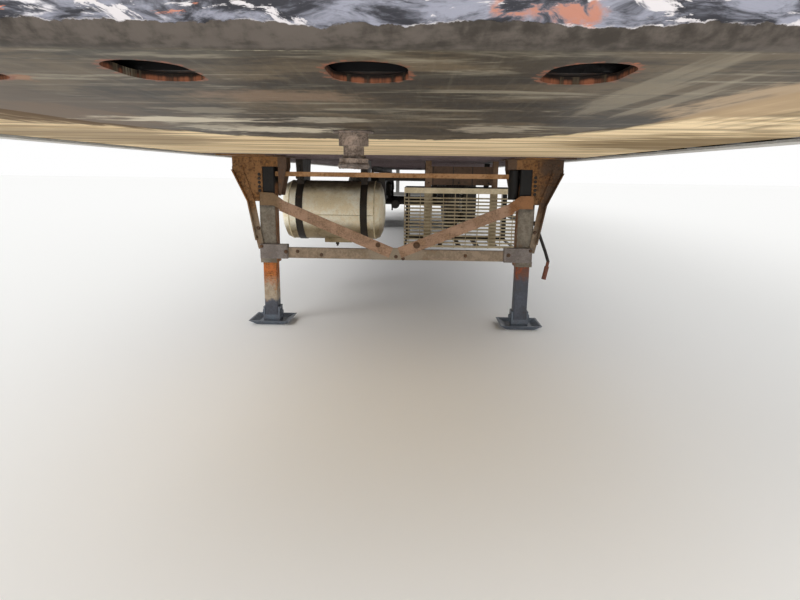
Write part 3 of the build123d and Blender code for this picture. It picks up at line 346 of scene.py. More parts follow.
finishes = {
    "legTube": dict(steel=blackPaint, zones=(
        layer("Z", 0.90, 0.82, 0.06, greyBrown),
        layer("X", 0.8545, 0.8535, 0.0, steelLook("7d563a 5e412d 9c673e 6c4630 8c7458", 0.5, 0.3, 8.0),
              mirrored=True),
        layer("Z", 0.99, 1.03, 0.03, blackPaint),
    )),
    "ramSteel": dict(steel=steelLook("50545f 3a3e48 5f4d46 433631 6b6a6c", 0.25, 0.3, 9.0), zones=(
        layer("Z", 0.155, 0.195, 0.05, steelLook("aa9a86 847a6c b98453 8d6646 a8997f", 0.4, 0.3, 18.0),
              grain=30, side=-1),
        layer("Z", 0.25, 0.38, 0.09, steelLook("b3652f 8f4d28 c57a3c 5f3420 b08456", 0.5, 0.15, 16.0),
              grain=34, side=-1),
        layer("Z", 0.33, 0.40, 0.07, steelLook("6a4639 4a3630 a8502b 7c3a22 8a6a54", 0.45, 0.2, 18.0),
              grain=34, side=1),
    )),
    "shoeSteel": dict(steel=steelLook("59646f 232a33 64656a 3a3c42 9094a0", 0.2, 0.4, 20.0), specular=0.4),
    "bracketRust": dict(steel=orangeRust, zones=(
        layer("Z", 0.92, 0.70, 0.08, steelLook("86745f 6b5c4c 96693f 74503a 9c8d76", 0.35, 0.35, 7.0)),
        layer("X", 0.95, 1.04, 0.06, steelLook("503a28 33261c 7c5130 35261b 614d36", 0.45, 0.25, 10.0), side=1),
        layer("Y", -4.396, -4.392, 0.0, darkRust),
        layer("X", 0.83, 0.82, 0.004, steelLook("5b4431 46342a 7a5436 573c2a 7a6550", 0.4, 0.3, 7.0), mirrored=True),
    )),
    "channelSteel": dict(steel=steelLook("95826e 665849 936a47 684a37 ab9980", 0.3, 0.4, 11.0), zones=(
        layer("X", 0.755, 0.765, 0.0, steelLook("7c736e 544c49 7d6253 584640 948b82", 0.25, 0.35, 14.0),
              mirrored=True),
        layer("X", 0.26, 0.12, 0.08, steelLook("8f8271 7b6f61 8a745e 6d5a4a a3967f", 0.3, 0.6, 11.0), mirrored=True),
    )),
    "diagonalRust": dict(steel=steelLook("a6846b 745745 a9805c 5a4236 b5997c", 0.4, 0.4, 13.0), zones=(
        layer("X", 0.765, 0.80, 0.02, steelLook("94663f 7a5234 b0723c 6f4a2e a07c58", 0.4, 0.2, 12.0)),
        layer("X", -0.79, -0.83, 0.02, steelLook("7f6346 68513b 8c6540 5c4230 94805f", 0.35, 0.3, 9.0)),
    )),
    "shaftRust": dict(steel=steelLook("b88a5e 96693f a8713f 7d5231 bd9a70", 0.4, 0.3, 9.0), zones=(
        layer("X", 0.778, 0.781, 0.0, blackPaint),
    )),
    "crankSteel": dict(steel=steelLook("242122 191718 4a322a 33241f 5a5048", 0.2, 0.2, 14.0), zones=(
        layer("Z", 0.50, 0.48, 0.02, steelLook("6e4438 56342c 8a4f36 5c3a2c 8a6a5a", 0.5, 0.2, 18.0), grain=40),
    )),
    # fuel tank: the bright cream is partly the metal's colour and partly a painted sheen; the darker top and low bands
    # are painted shade and painted reflection
    "tankMetalWithPaintedSheen": dict(metallic=0.1, bump=0.08, steel=steelLook("fff8e2 f4e2bc dccaa4 b9a784 f0dcb4", 0.15, 0.2, 5.0),
                      zones=(
        layer("Z", 0.90, 0.985, 0.04, steelLook("8b7f66 6c6150 6a5b46 4f4334 7a6b54", 0.3, 0.3, 5.0), grain=6),
        layer("Z", 0.965, 1.01, 0.03, steelLook("80735c 5c5242 6c5a45 4f4133 7c6c54", 0.3, 0.3, 6.0), grain=6),
        layer("Z", 0.70, 0.60, 0.05, steelLook("9f8d6e 806f55 7a684b 5f4f3a 96865f", 0.3, 0.3, 6.0), grain=6),
    )),
    "rackSteelWithPaintedShade": dict(steel=steelLook("bcac8d a19175 957a57 755e42 c6b694", 0.3, 0.4, 9.0), zones=(
        layer("Z", 0.928, 0.932, 0.0, steelLook("f5e4c2 d9c7a2 bda47a 9a835c ebdbb8", 0.2, 0.4, 9.0)),
        # the rear part of the rack is painted black as painted shade
        layer("Y", -3.50, -3.45, 0.0, blackPaint),
    )),
    "panelBrownWithPaintedShade": dict(steel=steelLook("5f4635 4d3a2c 6b4c34 3c2c22 6e5c48", 0.35, 0.3, 7.0), zones=(
        layer("X", 0.271, 0.268, 0.0, panelPale),
        layer("X", 0.777, 0.780, 0.0, panelPale),
        # the rear part of the hangers is painted black as painted shade
        layer("Y", -3.40, -3.35, 0.0, blackPaint),
    )),
    "frameGreyWithPaintedShade": dict(steel=steelLook("6a5a5e 3d3235 6c4f44 47362f 9a8880", 0.3, 0.35, 4.0), zones=(
        # near-black towards the nose: painted shade over the underframe above the coupler plate
        layer("Y", -5.10, -5.14, 0.0, steelLook("070606 040303 120c09 090605 0e0c0a", 0.2, 0.1, 4.0)),
    )),
    "bogieBlack": dict(steel=steelLook("262322 171615 4a3022 2e1f18 6b5f50", 0.25, 0.3, 4.0)),
    "boltRust": dict(steel=steelLook("553d2e 38281f 704a33 452f22 7c6850", 0.45, 0.3, 20.0)),
    "boltDark": dict(steel=steelLook("2a2522 1c1917 54392a 3a281e 6a5c4c", 0.3, 0.25, 20.0)),
    "legBlack": dict(steel=blackPaint),
    "rubberBlack": dict(steel=steelLook("262625 1c1c1b 35322d 2b2824 5c5548", 0.2, 0.3, 6.0), bump=0.15),
    "tyreRubber": dict(steel=steelLook("252524 1b1b1a 34312c 2a2723 5f5749", 0.2, 0.4, 9.0), bump=0.15),
    "sealRubber": dict(steel=steelLook("1e1e1e 161616 2a2826 22201f 4d483f", 0.15, 0.2, 12.0), bump=0.1),
    "wheelWhite": dict(steel=steelLook("d8d6d0 c9c6be 8a6a4e 6d523c 8f8573", 0.12, 0.4, 8.0), bump=0.1),
    "nutSteel": dict(steel=steelLook("6e6a66 4c4947 7d5a44 5a4031 7a7266", 0.3, 0.3, 30.0), metallic=0.5),
    "zincPlate": dict(steel=steelLook("a9a8a4 8f8e8a 8a7c6a 75685a 8b8577", 0.15, 0.25, 18.0), metallic=0.7, bump=0.1),
    "redLens": dict(steel=steelLook("b31712 a01410 8f1511 7c120f 8a6a58", 0.1, 0.15, 9.0), bump=0.0, specular=0.6),
    "amberLens": dict(steel=steelLook("e08a1c d07d17 b86f18 a66416 a88a60", 0.1, 0.15, 9.0), bump=0.0, specular=0.6),
    "tapeRed": dict(steel=steelLook("b3201a a31c17 9a1d18 861a16 8b6f5c", 0.1, 0.2, 9.0), bump=0.05),
    "tapeWhite": dict(steel=steelLook("e6e5e0 dbdad4 cbc8bf bdb9ae a39b8b", 0.1, 0.2, 9.0), bump=0.05),
    "weldBead": dict(steel=steelLook("e2d3b0 c4b48f a8987a 8c7c60 c0ae88", 0.2, 0.3, 30.0), metallic=0.2),
    "greasyPin": dict(steel=steelLook("8f7c6e 382e27 7a5b48 3a2a21 b0a295", 0.4, 0.3, 34.0), metallic=0.4, bump=0.4),
    "greaseLump": dict(steel=steelLook("6a594d 2f2721 5c4638 30251e 96867a", 0.4, 0.2, 50.0), specular=0.7, bump=0.5),
}
materials = {name: wornMaterial(name, values) for name, values in finishes.items()}


def makeStain():
    # soft-edged oval stain: 1 inside, 0 outside, with a ragged edge
    group, start, end = newGroup(
        "stain",
        {"coords": (0, 0, 0), "centre": (0, 0, 0), "spread": (1, 1, 1), "ragged": 0.5, "grain": (20, 4, 20)},
        {"mask": "Float"},
    )
    away = vectorNode("DIVIDE", vectorNode("SUBTRACT", start["coords"], start["centre"]), start["spread"])
    grain = noiseNode(vectorNode("MULTIPLY", start["coords"], start["grain"]), 1.0, 5, 0.6)
    rough = multiply(subtract(grain, 0.5), start["ragged"])
    reach = scaledPlus(rough, 4.0, vectorNode("LENGTH", away))
    group.links.new(rangeNode(reach, 0.55, 1.1, 1.0, 0.0), end["mask"])
    return group


stain = makeStain()


def stained(color, plan, row, where=1.0):
    # a colour with one stain from the plate's tables over it
    x, ahead, halfWidth, halfLength, tone, strength, ragged, grain = row
    values = {"centre": (x, ahead, 0), "spread": (halfWidth, halfLength, 1), "ragged": ragged, "grain": grain + (1,)}
    mask = multiply(groupNode(stain, plan, values)["mask"], strength)
    return mixColor(multiply(mask, where), color, srgb(tone))


# Coupler plate: grease print of the fifth wheel, dust behind it, torn paint on the lip
plate = {
    "under": 1.190,
    "greaseMiddle": 0.03, "greaseHalfWidth": 0.575, "greaseFront": 0.45, "greaseLength": 0.76, "greaseCorner": 2.4,
    "greaseDark": srgb("342c21"), "grease": srgb("574b39"), "greasePale": srgb("8a8371"), "greaseBlack": srgb("221d16"),
    "edgeDark": srgb("3b352d"), "sideBrown": srgb("6f5f4b"),
    "dust": srgb("f7e0b8"), "dustShade": srgb("cbb28a"), "gritAndRippleShade": srgb("655440"),
    "ripplePitch": 0.15,
    "holePitch": 0.22, "holeSetback": 0.818, "holeHalfWidth": 0.041, "holeStraight": 0.0215, "holesTo": 0.40,
    "rust": srgb("7a4a33"), "rustShade": srgb("3e2a1f"), "holeWallShade": srgb("1a120d"),
    "lipStart": 0.922, "crease": 0.924, "tornEdge": 1.2035,
    "lipBand": srgb("544d47"), "lipBandShade": srgb("35302b"),
    "paint": srgb("83848f"), "paintShade": srgb("2c2c31"), "paintWhite": srgb("bfbabb"), "paintSalmon": srgb("b4745c"),
    "gloss": 0.14, "dullRoughness": (0.85, 0.85, 0.85, 1), "wornRoughness": (0.5, 0.5, 0.5, 1),
    # X, distance ahead of the kingpin, half width, half length, colour, strength, ragged edge, grain across and along
    "stains": (
        (-0.50, 0.50, 0.30, 0.40, "514333", 0.7, 0.5, (14, 5)),
        (-0.52, 0.30, 0.18, 0.30, "5e4a34", 0.9, 0.5, (24, 5)),
        (0.98, -0.40, 0.42, 0.55, "78623f", 0.85, 0.5, (3, 14)),
        (-0.82, -0.35, 0.38, 0.60, "6f5d48", 0.6, 0.5, (3, 14)),
        (0.64, 0.60, 0.11, 0.28, "b39a7a", 0.8, 0.5, (30, 5)),
        (-0.20, 0.45, 0.09, 0.05, "857c69", 0.6, 0.9, (14, 30)),
        (-0.02, 0.29, 0.10, 0.06, "9c9483", 0.8, 0.9, (16, 34)),
        (-0.17, 0.02, 0.20, 0.10, "c6bca6", 0.95, 0.7, (16, 30)),
        (-0.30, 0.10, 0.10, 0.06, "a79d89", 0.8, 0.9, (16, 34)),
        (-0.31, 0.27, 0.17, 0.07, "cabfa8", 0.85, 0.8, (10, 30)),
        (-0.03, 0.63, 0.12, 0.07, "75604c", 0.75, 0.5, (16, 16)),
        (0.33, 0.10, 0.10, 0.12, "aba08c", 0.7, 0.9, (16, 30)),
        (0.43, 0.68, 0.035, 0.30, "8f8672", 0.45, 0.5, (60, 4)),
        (0.50, 0.60, 0.02, 0.26, "a39a85", 0.35, 0.5, (60, 4)),
        (-0.29, 0.775, 0.03, 0.022, "8a5a36", 0.7, 0.9, (40, 40)),
        (-0.42, 0.765, 0.03, 0.018, "9c6338", 0.8, 0.9, (40, 40)),
        (0.350, 0.866, 0.016, 0.014, "b8672f", 0.8, 0.9, (60, 60)),
        (0.0, 0.0, 0.085, 0.085, "463f36", 0.9, 0.5, (40, 40)),
    ),
    "lipPatches": (
        (0.262, 0.968, 0.042, 0.012, "a2705f", 1.0, 0.9, (24, 60)),
        (-0.016, 0.985, 0.045, 0.020, "c4c0c3", 1.0, 0.9, (24, 60)),
        (0.343, 0.985, 0.055, 0.016, "a3a6b8", 1.0, 0.9, (24, 60)),
        (-0.150, 0.975, 0.040, 0.016, "c4c0c3", 1.0, 0.9, (24, 60)),
    ),
}


def makePlateFinish():
    mat, shader, coords = newMaterial("plateFinish")
    x, y, z = splitCoords(coords)
    ahead = subtract(pinY, y)
    plan = joinCoords(x, ahead)
    streak = stretchedNoise(plan, (22, 1.6, 1), 1.0, 6, 0.62, 0.4)
    streakFine = stretchedNoise(plan, (90, 4, 1), 1.0, 4, 0.6)
    broad = noiseNode(plan, 3.2, 5, 0.6, 0.5)
    fine = noiseNode(plan, 70, 4, 0.6)
    grit = noiseNode(plan, 240, 2, 0.6)

    # grease print
    across = mathNode("ABSOLUTE", subtract(x, plate["greaseMiddle"]))
    across = mathNode("POWER", mathNode("DIVIDE", across, plate["greaseHalfWidth"]), plate["greaseCorner"])
    behind = mathNode("MAXIMUM", subtract(plate["greaseFront"], ahead), 0.0)
    behind = mathNode("POWER", mathNode("DIVIDE", behind, plate["greaseLength"]), plate["greaseCorner"])
    reach = add(add(across, behind), scaledPlus(streak, 0.5, -0.25))
    inside = rangeNode(reach, 0.93, 1.05, 1.0, 0.0)
    edge = multiply(rangeNode(reach, 0.86, 0.98), rangeNode(reach, 0.98, 1.16, 1.0, 0.0))
    crosswise = stretchedNoise(plan, (1.1, 12, 1), 1.0, 6, 0.6, 0.3)
    smear = stretchedNoise(plan, (3.2, 17, 1), 1.0, 6, 0.66, 0.8)
    smearDark = stretchedNoise(plan, (2.1, 8, 3), 1.3, 6, 0.66, 0.6)
    grease = mixColor(rangeNode(broad, 0.42, 0.58), plate["greaseDark"], plate["grease"])
    for pattern, low, high, strength, tone in (
        (smear, 0.52, 0.62, 0.65, "greasePale"), (smearDark, 0.49, 0.59, 0.8, "greaseBlack"),
        (streakFine, 0.5, 0.75, 0.12, "greasePale"), (fine, 0.56, 0.7, 0.3, "greaseBlack"),
    ):
        grease = mixColor(rangeNode(pattern, low, high, 0.0, strength), grease, plate[tone])

    # dust behind and beside the print, darker towards the nose, with painted shade of soft ripples at the crossmembers
    # dark lines at the crossmember pitch: painted shade of the ripples; the same dark tone also marks real grit specks
    ripple = mathNode("PINGPONG", add(ahead, plate["ripplePitch"]), plate["ripplePitch"])
    ripple = rangeNode(scaledPlus(fine, 0.02, ripple), 0.008, 0.05, 0.55, 0.0)
    dust = mixColor(rangeNode(crosswise, 0.38, 0.62), plate["dust"], plate["dustShade"])
    dust = mixColor(ripple, dust, plate["gritAndRippleShade"])
    dust = mixColor(rangeNode(grit, 0.66, 0.72, 0.0, 0.6), dust, plate["gritAndRippleShade"])
    forward = add(ahead, scaledPlus(streak, 1.9, -0.95))
    dust = mixColor(rangeNode(forward, 0.2, 0.8, 0.0, 0.85), dust, plate["sideBrown"])
    color = mixColor(inside, dust, grease)
    color = mixColor(multiply(edge, 0.8), color, plate["edgeDark"])
    for row in plate["stains"]:
        color = stained(color, plan, row)

    # hole rims: rust round each hole, with painted shade on the upper part of the hole walls
    near = subtract(plate["holePitch"] / 2, mathNode("PINGPONG", x, plate["holePitch"] / 2))
    along = mathNode("ABSOLUTE", subtract(ahead, plate["holeSetback"]))
    along = mathNode("MAXIMUM", subtract(along, plate["holeStraight"]), 0.0)
    away = mathNode("SQRT", add(mathNode("POWER", near, 2.0), mathNode("POWER", along, 2.0)))
    away = subtract(away, plate["holeHalfWidth"])
    rim = rangeNode(add(away, scaledPlus(fine, 0.044, -0.0235)), 0.0, 0.004, 1.0, 0.0)
    rim = multiply(rim, rangeNode(mathNode("ABSOLUTE", x), plate["holesTo"], plate["holesTo"] + 0.02, 1.0, 0.0))
    # the upper part of each hole wall gets painted shade; the lower part keeps the rust
    wall = rangeNode(scaledPlus(fine, 0.006, z), plate["under"] + 0.0055, plate["under"] + 0.009)
    rust = mixColor(rangeNode(fine, 0.4, 0.6), plate["rust"], plate["rustShade"])
    color = mixColor(rim, color, mixColor(wall, rust, plate["holeWallShade"]))

    # lip: a worn band, then torn paint above it
    mottle = add(multiply(smear, 0.6), multiply(fine, 0.4))
    band = mixColor(rangeNode(mottle, 0.42, 0.6), plate["lipBand"], plate["lipBandShade"])
    color = mixColor(rangeNode(ahead, plate["lipStart"], plate["lipStart"] + 0.012), color, band)
    crumple = stretchedNoise(coords, (14, 14, 55), 1.0, 6, 0.66, 0.9)
    patch = stretchedNoise(coords, (17, 17, 60), 1.0, 6, 0.66, 0.8)
    flake = stretchedNoise(coords, (9, 9, 30), 1.0, 6, 0.64, 1.0)
    shreds = stretchedNoise(coords, (1, 1, 2.5), 70, 4, 0.7)
    torn = add(z, scaledPlus(noiseNode(coords, 16, 6, 0.6), 0.018, -0.009))
    torn = add(torn, scaledPlus(shreds, 0.006, -0.003))
    painted = rangeNode(torn, plate["tornEdge"], plate["tornEdge"] + 0.0008)
    skin = mixColor(rangeNode(crumple, 0.40, 0.60), plate["paint"], plate["paintShade"])
    skin = mixColor(rangeNode(patch, 0.56, 0.60), skin, plate["paintWhite"])
    skin = mixColor(rangeNode(flake, 0.63, 0.66), skin, plate["paintSalmon"])
    hollows = rangeNode(crumple, 0.46, 0.54, 1.0, 0.0)
    for row in plate["lipPatches"]:
        skin = stained(skin, plan, row, hollows)
    fringe = rangeNode(torn, plate["tornEdge"] + 0.0004, plate["tornEdge"] + 0.0016, 0.75, 0.0)
    skin = mixColor(multiply(fringe, rangeNode(patch, 0.48, 0.56)), skin, plate["paintWhite"])
    color = mixColor(painted, color, skin)
    crease = mathNode("ABSOLUTE", subtract(ahead, plate["crease"]))
    crease = rangeNode(scaledPlus(streakFine, 0.006, crease), 0.0025, 0.0045, 1.0, 0.0)
    color = mixColor(multiply(crease, rangeNode(broad, 0.45, 0.6)), color, plate["greasePale"])

    links = mat.node_tree.links
    links.new(color, shader.inputs["Base Color"])
    shader.inputs["Specular IOR Level"].default_value = plate["gloss"]
    rough = mixColor(inside, plate["dullRoughness"], plate["wornRoughness"])
    links.new(mixColor(painted, rough, plate["wornRoughness"]), shader.inputs["Roughness"])
    relief = add(multiply(streak, 0.5), multiply(fine, 0.2))
    relief = add(relief, multiply(painted, scaledPlus(crumple, 2.0, 0.6)))
    addBump(shader, relief, 0.5, 0.002)
    return mat


materials["plateFinish"] = makePlateFinish()


def makeSkinFinish(name, values):
    # painted or bare sheet: slight tone changes, rain streaks, road film low down and scuffs
    mat, shader, coords = newMaterial(name)
    links = mat.node_tree.links
    y, z = splitCoords(coords)[1:]
    tone = noiseNode(coords, 0.9, 3, 0.5)
    fine = noiseNode(coords, 45, 4, 0.6)
    streak = stretchedNoise(coords, values["streakScale"], 1.0, 5, 0.62)
    scratch = stretchedNoise(coords, values["scratchScale"], 1.0, 3, 0.6)
    color = mixColor(rangeNode(tone, 0.3, 0.7), values["paint"], values["shade"])
    color = mixColor(rangeNode(streak, 0.5, 0.78, 0.0, values["streaks"]), color, values["grime"])
    height = add(z, scaledPlus(streak, 0.9, -0.45))
    film = rangeNode(height, values["filmLow"], values["filmHigh"], values["film"], 0.0)
    film = multiply(film, rangeNode(fine, 0.2, 0.7, 0.6, 1.0))
    color = mixColor(film, color, values["grime"])
    scuff = rangeNode(scratch, 0.70, 0.74, 0.0, values["scuffs"])
    color = mixColor(scuff, color, values["scuffColor"])
    if "rubberFrom" in values:  # the dock bumpers, low down and behind the frame
        rubber = mathNode("GREATER_THAN", y, values["rubberFrom"])
        rubber = multiply(rubber, mathNode("LESS_THAN", z, values["rubberTop"]))
        black = mixColor(rangeNode(fine, 0.4, 0.65), values["rubber"], values["rubberWorn"])
        color = mixColor(rubber, color, black)
    links.new(color, shader.inputs["Base Color"])
    rough = add(multiply(film, 0.35), scaledPlus(fine, 0.12, values["rough"]))
    links.new(rough, shader.inputs["Roughness"])
    shader.inputs["Metallic"].default_value = values.get("metallic", 0.0)
    waves = add(multiply(tone, 1.5), multiply(fine, 0.06))
    addBump(shader, scaledPlus(scuff, -0.1, waves), 0.25, 0.004)
    return mat


whiteSheet = {
    "paint": srgb("dfdeda"), "shade": srgb("d8d7d2"), "grime": srgb("8f877a"), "scuffColor": srgb("a3a09a"),
    "streakScale": (7, 7, 0.35), "scratchScale": (3, 3, 60), "streaks": 0.28, "scuffs": 0.35, "film": 0.55,
    "filmLow": 1.15, "filmHigh": 1.95, "rough": 0.38,
}


def sheetLook(paint, shade, **changes):
    return {**whiteSheet, "paint": srgb(paint), "shade": srgb(shade), **changes}


skins = {
    "wallSkin": whiteSheet,
    "doorSkin": sheetLook("d9d8d4", "d1d0cb", streaks=0.4, film=0.6),
    "unitSkin": sheetLook("e0dfdc", "d8d7d4", streaks=0.35, film=0.4),
    "linerSkin": sheetLook("d6d5cf", "cbcac2", streaks=0.15, film=0.3),
    "roofMetal": sheetLook(
        "b9b9b6", "aaaaa6", grime=srgb("77736a"), streakScale=(6, 0.5, 6), metallic=0.55, rough=0.34, film=0.0,
        streaks=0.5,
    ),
    "frameMetal": sheetLook(
        "b4b4b2", "a4a4a2", grime=srgb("6f6a60"), metallic=0.35, rough=0.34, film=0.5, streaks=0.35,
        rubberFrom=8.249, rubberTop=1.35, rubber=srgb("242322"), rubberWorn=srgb("3a3733"),
    ),
}
for name, values in skins.items():
    materials[name] = makeSkinFinish(name, values)

finishNodes = {
    "plateFinish": "coupler_plate", "greasyPin": "kingpin", "frameGreyWithPaintedShade": "underframe",
    "roofMetal": "floor_deck roof", "linerSkin": "bulkhead", "unitSkin": "cooling_unit",
    "wallSkin": "side_wall_left side_wall_right front_wall bottom_rails top_rails",
    "frameMetal": "rear_frame rear_guard", "doorSkin": "door_left door_right",
    "zincPlate": "nose_connectors door_left_hinges door_right_hinges door_left_lock_rods door_right_lock_rods",
    "legTube": "leg_housings", "ramSteel": "leg_rams", "shoeSteel": "sand_shoes", "bracketRust": "leg_brackets",
    "channelSteel": "leg_channel", "diagonalRust": "leg_diagonals", "shaftRust": "leg_shaft",
    "crankSteel": "crank_handle", "tankMetalWithPaintedSheen": "fuel_tank", "boltDark": "tank_straps",
    "rackSteelWithPaintedShade": "rack_grate rack_frame", "panelBrownWithPaintedShade": "rack_hangers",
    "bogieBlack": "cooling_grille body_rails bogie_frame suspension_hangers trailing_arms axles brake_chambers "
                  "flap_brackets",
    "rubberBlack": "air_springs mud_flaps", "redLens": "lamps_red", "amberLens": "lamps_amber",
    "wheelWhite": "wheels_front_left wheels_front_right wheels_rear_left wheels_rear_right",
    "tyreRubber": "tyres_front_left tyres_front_right tyres_rear_left tyres_rear_right",
}
nodeFinish = {node: finish for finish, nodes in finishNodes.items() for node in nodes.split()}
for name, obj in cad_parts.items():
    obj.data.materials.clear()
    obj.data.materials.append(materials[nodeFinish[name]])
print("finishes placed")


# Modelling helpers
def clearSelection():
    if bpy.context.object and bpy.context.object.mode == "EDIT":
        bpy.ops.object.mode_set(mode="OBJECT")
    bpy.ops.object.select_all(action="DESELECT")


def makeActive(piece):
    clearSelection()
    piece.select_set(True)
    bpy.context.view_layer.objects.active = piece


def placed():
    bpy.ops.object.transform_apply(location=True, rotation=True, scale=True)
    return bpy.context.object


def editAll():
    bpy.ops.object.mode_set(mode="EDIT")
    bpy.ops.mesh.select_all(action="SELECT")


def editDone():
    bpy.ops.object.mode_set(mode="OBJECT")


def pick(test, kind="FACE"):
    # selects the faces (middle, normal) or edges (middle, direction) that pass the test, in edit mode
    piece = bpy.context.object
    bpy.ops.object.mode_set(mode="EDIT")
    bpy.ops.mesh.select_mode(type=kind)
    bpy.ops.mesh.select_all(action="DESELECT")
    mesh = bmesh.from_edit_mesh(piece.data)
    if kind == "FACE":
        for face in mesh.faces:
            face.select_set(bool(test(face.calc_center_median(), face.normal)))
    else:
        for edge in mesh.edges:
            first, second = (vert.co for vert in edge.verts)
            edge.select_set(bool(test((first + second) / 2, (second - first).normalized())))
    bmesh.update_edit_mesh(piece.data)


def soften(width, segments=1, test=None):
    # bevels all edges, or those that pass the test
    pick(test or (lambda middle, way: True), "EDGE")
    bpy.ops.mesh.bevel(offset=width, segments=segments, affect="EDGES", clamp_overlap=True)
    editDone()


def insetFaces(test, thickness, depth):
    pick(test)
    bpy.ops.mesh.inset(thickness=thickness, depth=depth, use_individual=True)
    editDone()


def addBlock(low, high, bevel=0.0, segments=1, test=None):
    clearSelection()
    low, high = Vector(low), Vector(high)
    bpy.ops.mesh.primitive_cube_add(size=1, location=(low + high) / 2, scale=high - low)
    piece = placed()
    if bevel:
        soften(bevel, segments, test)
    return piece


def addRound(radius, depth, place, axis="Z", sides=20, bevel=0.0, segments=1):
    # a round bar, with its bevel on both rims
    clearSelection()
    turn = {"X": (0, radians(90), 0), "Y": (radians(90), 0, 0), "Z": (0, 0, 0)}[axis]
    bpy.ops.mesh.primitive_cylinder_add(vertices=sides, radius=radius, depth=depth, location=place, rotation=turn)
    piece = placed()
    if bevel:
        soften(bevel, segments, lambda middle, way: abs(way["XYZ".index(axis)]) < 0.1)
    return piece


def outwards(merge=0.00001):
    editAll()
    bpy.ops.mesh.remove_doubles(threshold=merge)
    bpy.ops.mesh.normals_make_consistent(inside=False)
    editDone()


def turnedRing(outline, steps):
    # a closed outline of (X, radius) points, spun round the X axis
    clearSelection()
    bpy.ops.mesh.primitive_circle_add(vertices=len(outline), radius=1)
    ring = bpy.context.object
    for vertex, (along, radius) in zip(ring.data.vertices, outline):
        vertex.co = (along, 0, radius)
    editAll()
    bpy.ops.mesh.spin(steps=steps, angle=2 * pi, center=(0, 0, 0), axis=(1, 0, 0))
    editDone()
    outwards()
    return ring


def joined(pieces):
    clearSelection()
    for piece in pieces:
        piece.select_set(True)
    bpy.context.view_layer.objects.active = pieces[0]
    if len(pieces) > 1:
        bpy.ops.object.join()
    return placed()


def facing(place, way, size=1.0):
    # where a copy goes: its place, the way its +Z points, and its size
    turn = Vector(way).to_track_quat("Z", "Y").to_matrix().to_4x4()
    return Matrix.Translation(place) @ turn @ Matrix.Scale(size, 4)


def copies(master, places):
    # copies of a shape that is modelled once, each with its own mesh
    made = []
    for place in places:
        copy = bpy.data.objects.new(master.name, master.data.copy())
        bpy.context.scene.collection.objects.link(copy)
        copy.matrix_world = place
        made.append(copy)
    return joined(made)


def facingCopies(master, way, places, size=1.0):
    return copies(master, [facing(place, way, size) for place in places])


def modified(piece, kind, **settings):
    makeActive(piece)
    bpy.ops.object.modifier_add(type=kind)
    modifier = piece.modifiers[-1]
    for key, value in settings.items():
        setattr(modifier, key, value)
    bpy.ops.object.modifier_apply(modifier=modifier.name)
    return piece


def inRow(piece, count, step):
    return modified(
        piece, "ARRAY", count=count, use_relative_offset=False, use_constant_offset=True, constant_offset_displace=step,
    )


def bothSides(piece):
    modified(piece, "MIRROR", use_mirror_merge=False)
    outwards()
    return piece


def copyNode(name):
    # a copy of a CAD solid's mesh, merged, to be cut or dressed
    piece = bpy.data.objects.new(name + "Copy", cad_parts[name].data.copy())
    bpy.context.scene.collection.objects.link(piece)
    makeActive(piece)
    editAll()
    bpy.ops.mesh.remove_doubles(threshold=0.00001)
    editDone()
    return piece


def cutAway(piece, cutter):
    modified(piece, "BOOLEAN", operation="DIFFERENCE", solver="EXACT", object=cutter)
    editAll()
    bpy.ops.mesh.quads_convert_to_tris(quad_method="BEAUTY", ngon_method="BEAUTY")
    editDone()
    bpy.data.objects.remove(cutter)
    return piece


def finishPiece(piece, name, finish, body="trailer", replaced=None, smooth=32):
    # takes one piece, or a list of parts that become one
    piece = joined(piece) if isinstance(piece, list) else piece
    makeActive(piece)
    placed()
    bpy.ops.object.shade_smooth_by_angle(angle=radians(smooth))
    piece.name = name
    piece.data.name = name
    piece.data.materials.clear()
    piece.data.materials.append(materials[finish])
    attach(piece, body)
    if replaced:
        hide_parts(replaced)
    return piece


# Bolt, nut and rivet that the rest copy, standing on +Z
fastener = {
    "washerRadius": 0.016, "washerThickness": 0.003, "headRadius": 0.0115, "headHeight": 0.009, "chamfer": 0.0015,
    "nutRadius": 0.0195, "nutHeight": 0.022, "studRadius": 0.011, "studHeight": 0.034,
    "rivetRadius": 0.0055, "rivetHeight": 0.0024,
}


def makeBolt():
    thickness, height = fastener["washerThickness"], fastener["headHeight"]
    washer = addRound(fastener["washerRadius"], thickness, (0, 0, thickness / 2), sides=14)
    soften(thickness / 3, 1, lambda middle, way: middle.z > thickness * 0.9)
    head = addRound(fastener["headRadius"], height, (0, 0, thickness + height / 2), sides=6)
    soften(fastener["chamfer"], 1, lambda middle, way: middle.z > thickness + height - 0.0001)
    bolt = joined([washer, head])
    bolt.name = "boltShape"
    return bolt


def makeNut():
    height = fastener["nutHeight"]
    nut = addRound(fastener["nutRadius"], height, (0, 0, height / 2), sides=6)
    soften(fastener["chamfer"] * 2, 1, lambda middle, way: middle.z > height - 0.0001)
    stud = addRound(fastener["studRadius"], fastener["studHeight"], (0, 0, fastener["studHeight"] / 2), sides=10)
    insetFaces(lambda middle, way: way.z > 0.9, 0.002, 0.0015)
    nut = joined([nut, stud])
    nut.name = "nutShape"
    return nut


def makeRivet():
    radius, height = fastener["rivetRadius"], fastener["rivetHeight"]
    rivet = addRound(radius, height, (0, 0, height / 2), sides=7)
    insetFaces(lambda middle, way: way.z > 0.9, radius * 0.35, 0.0)
    pick(lambda middle, way: way.z > 0.9 and middle.xy.length < radius * 0.2)
    bpy.ops.transform.translate(value=(0, 0, height * 0.3))
    editDone()
    rivet.name = "rivetShape"
    return rivet


boltShape, nutShape, rivetShape = makeBolt(), makeNut(), makeRivet()
print("helpers and fasteners ready")

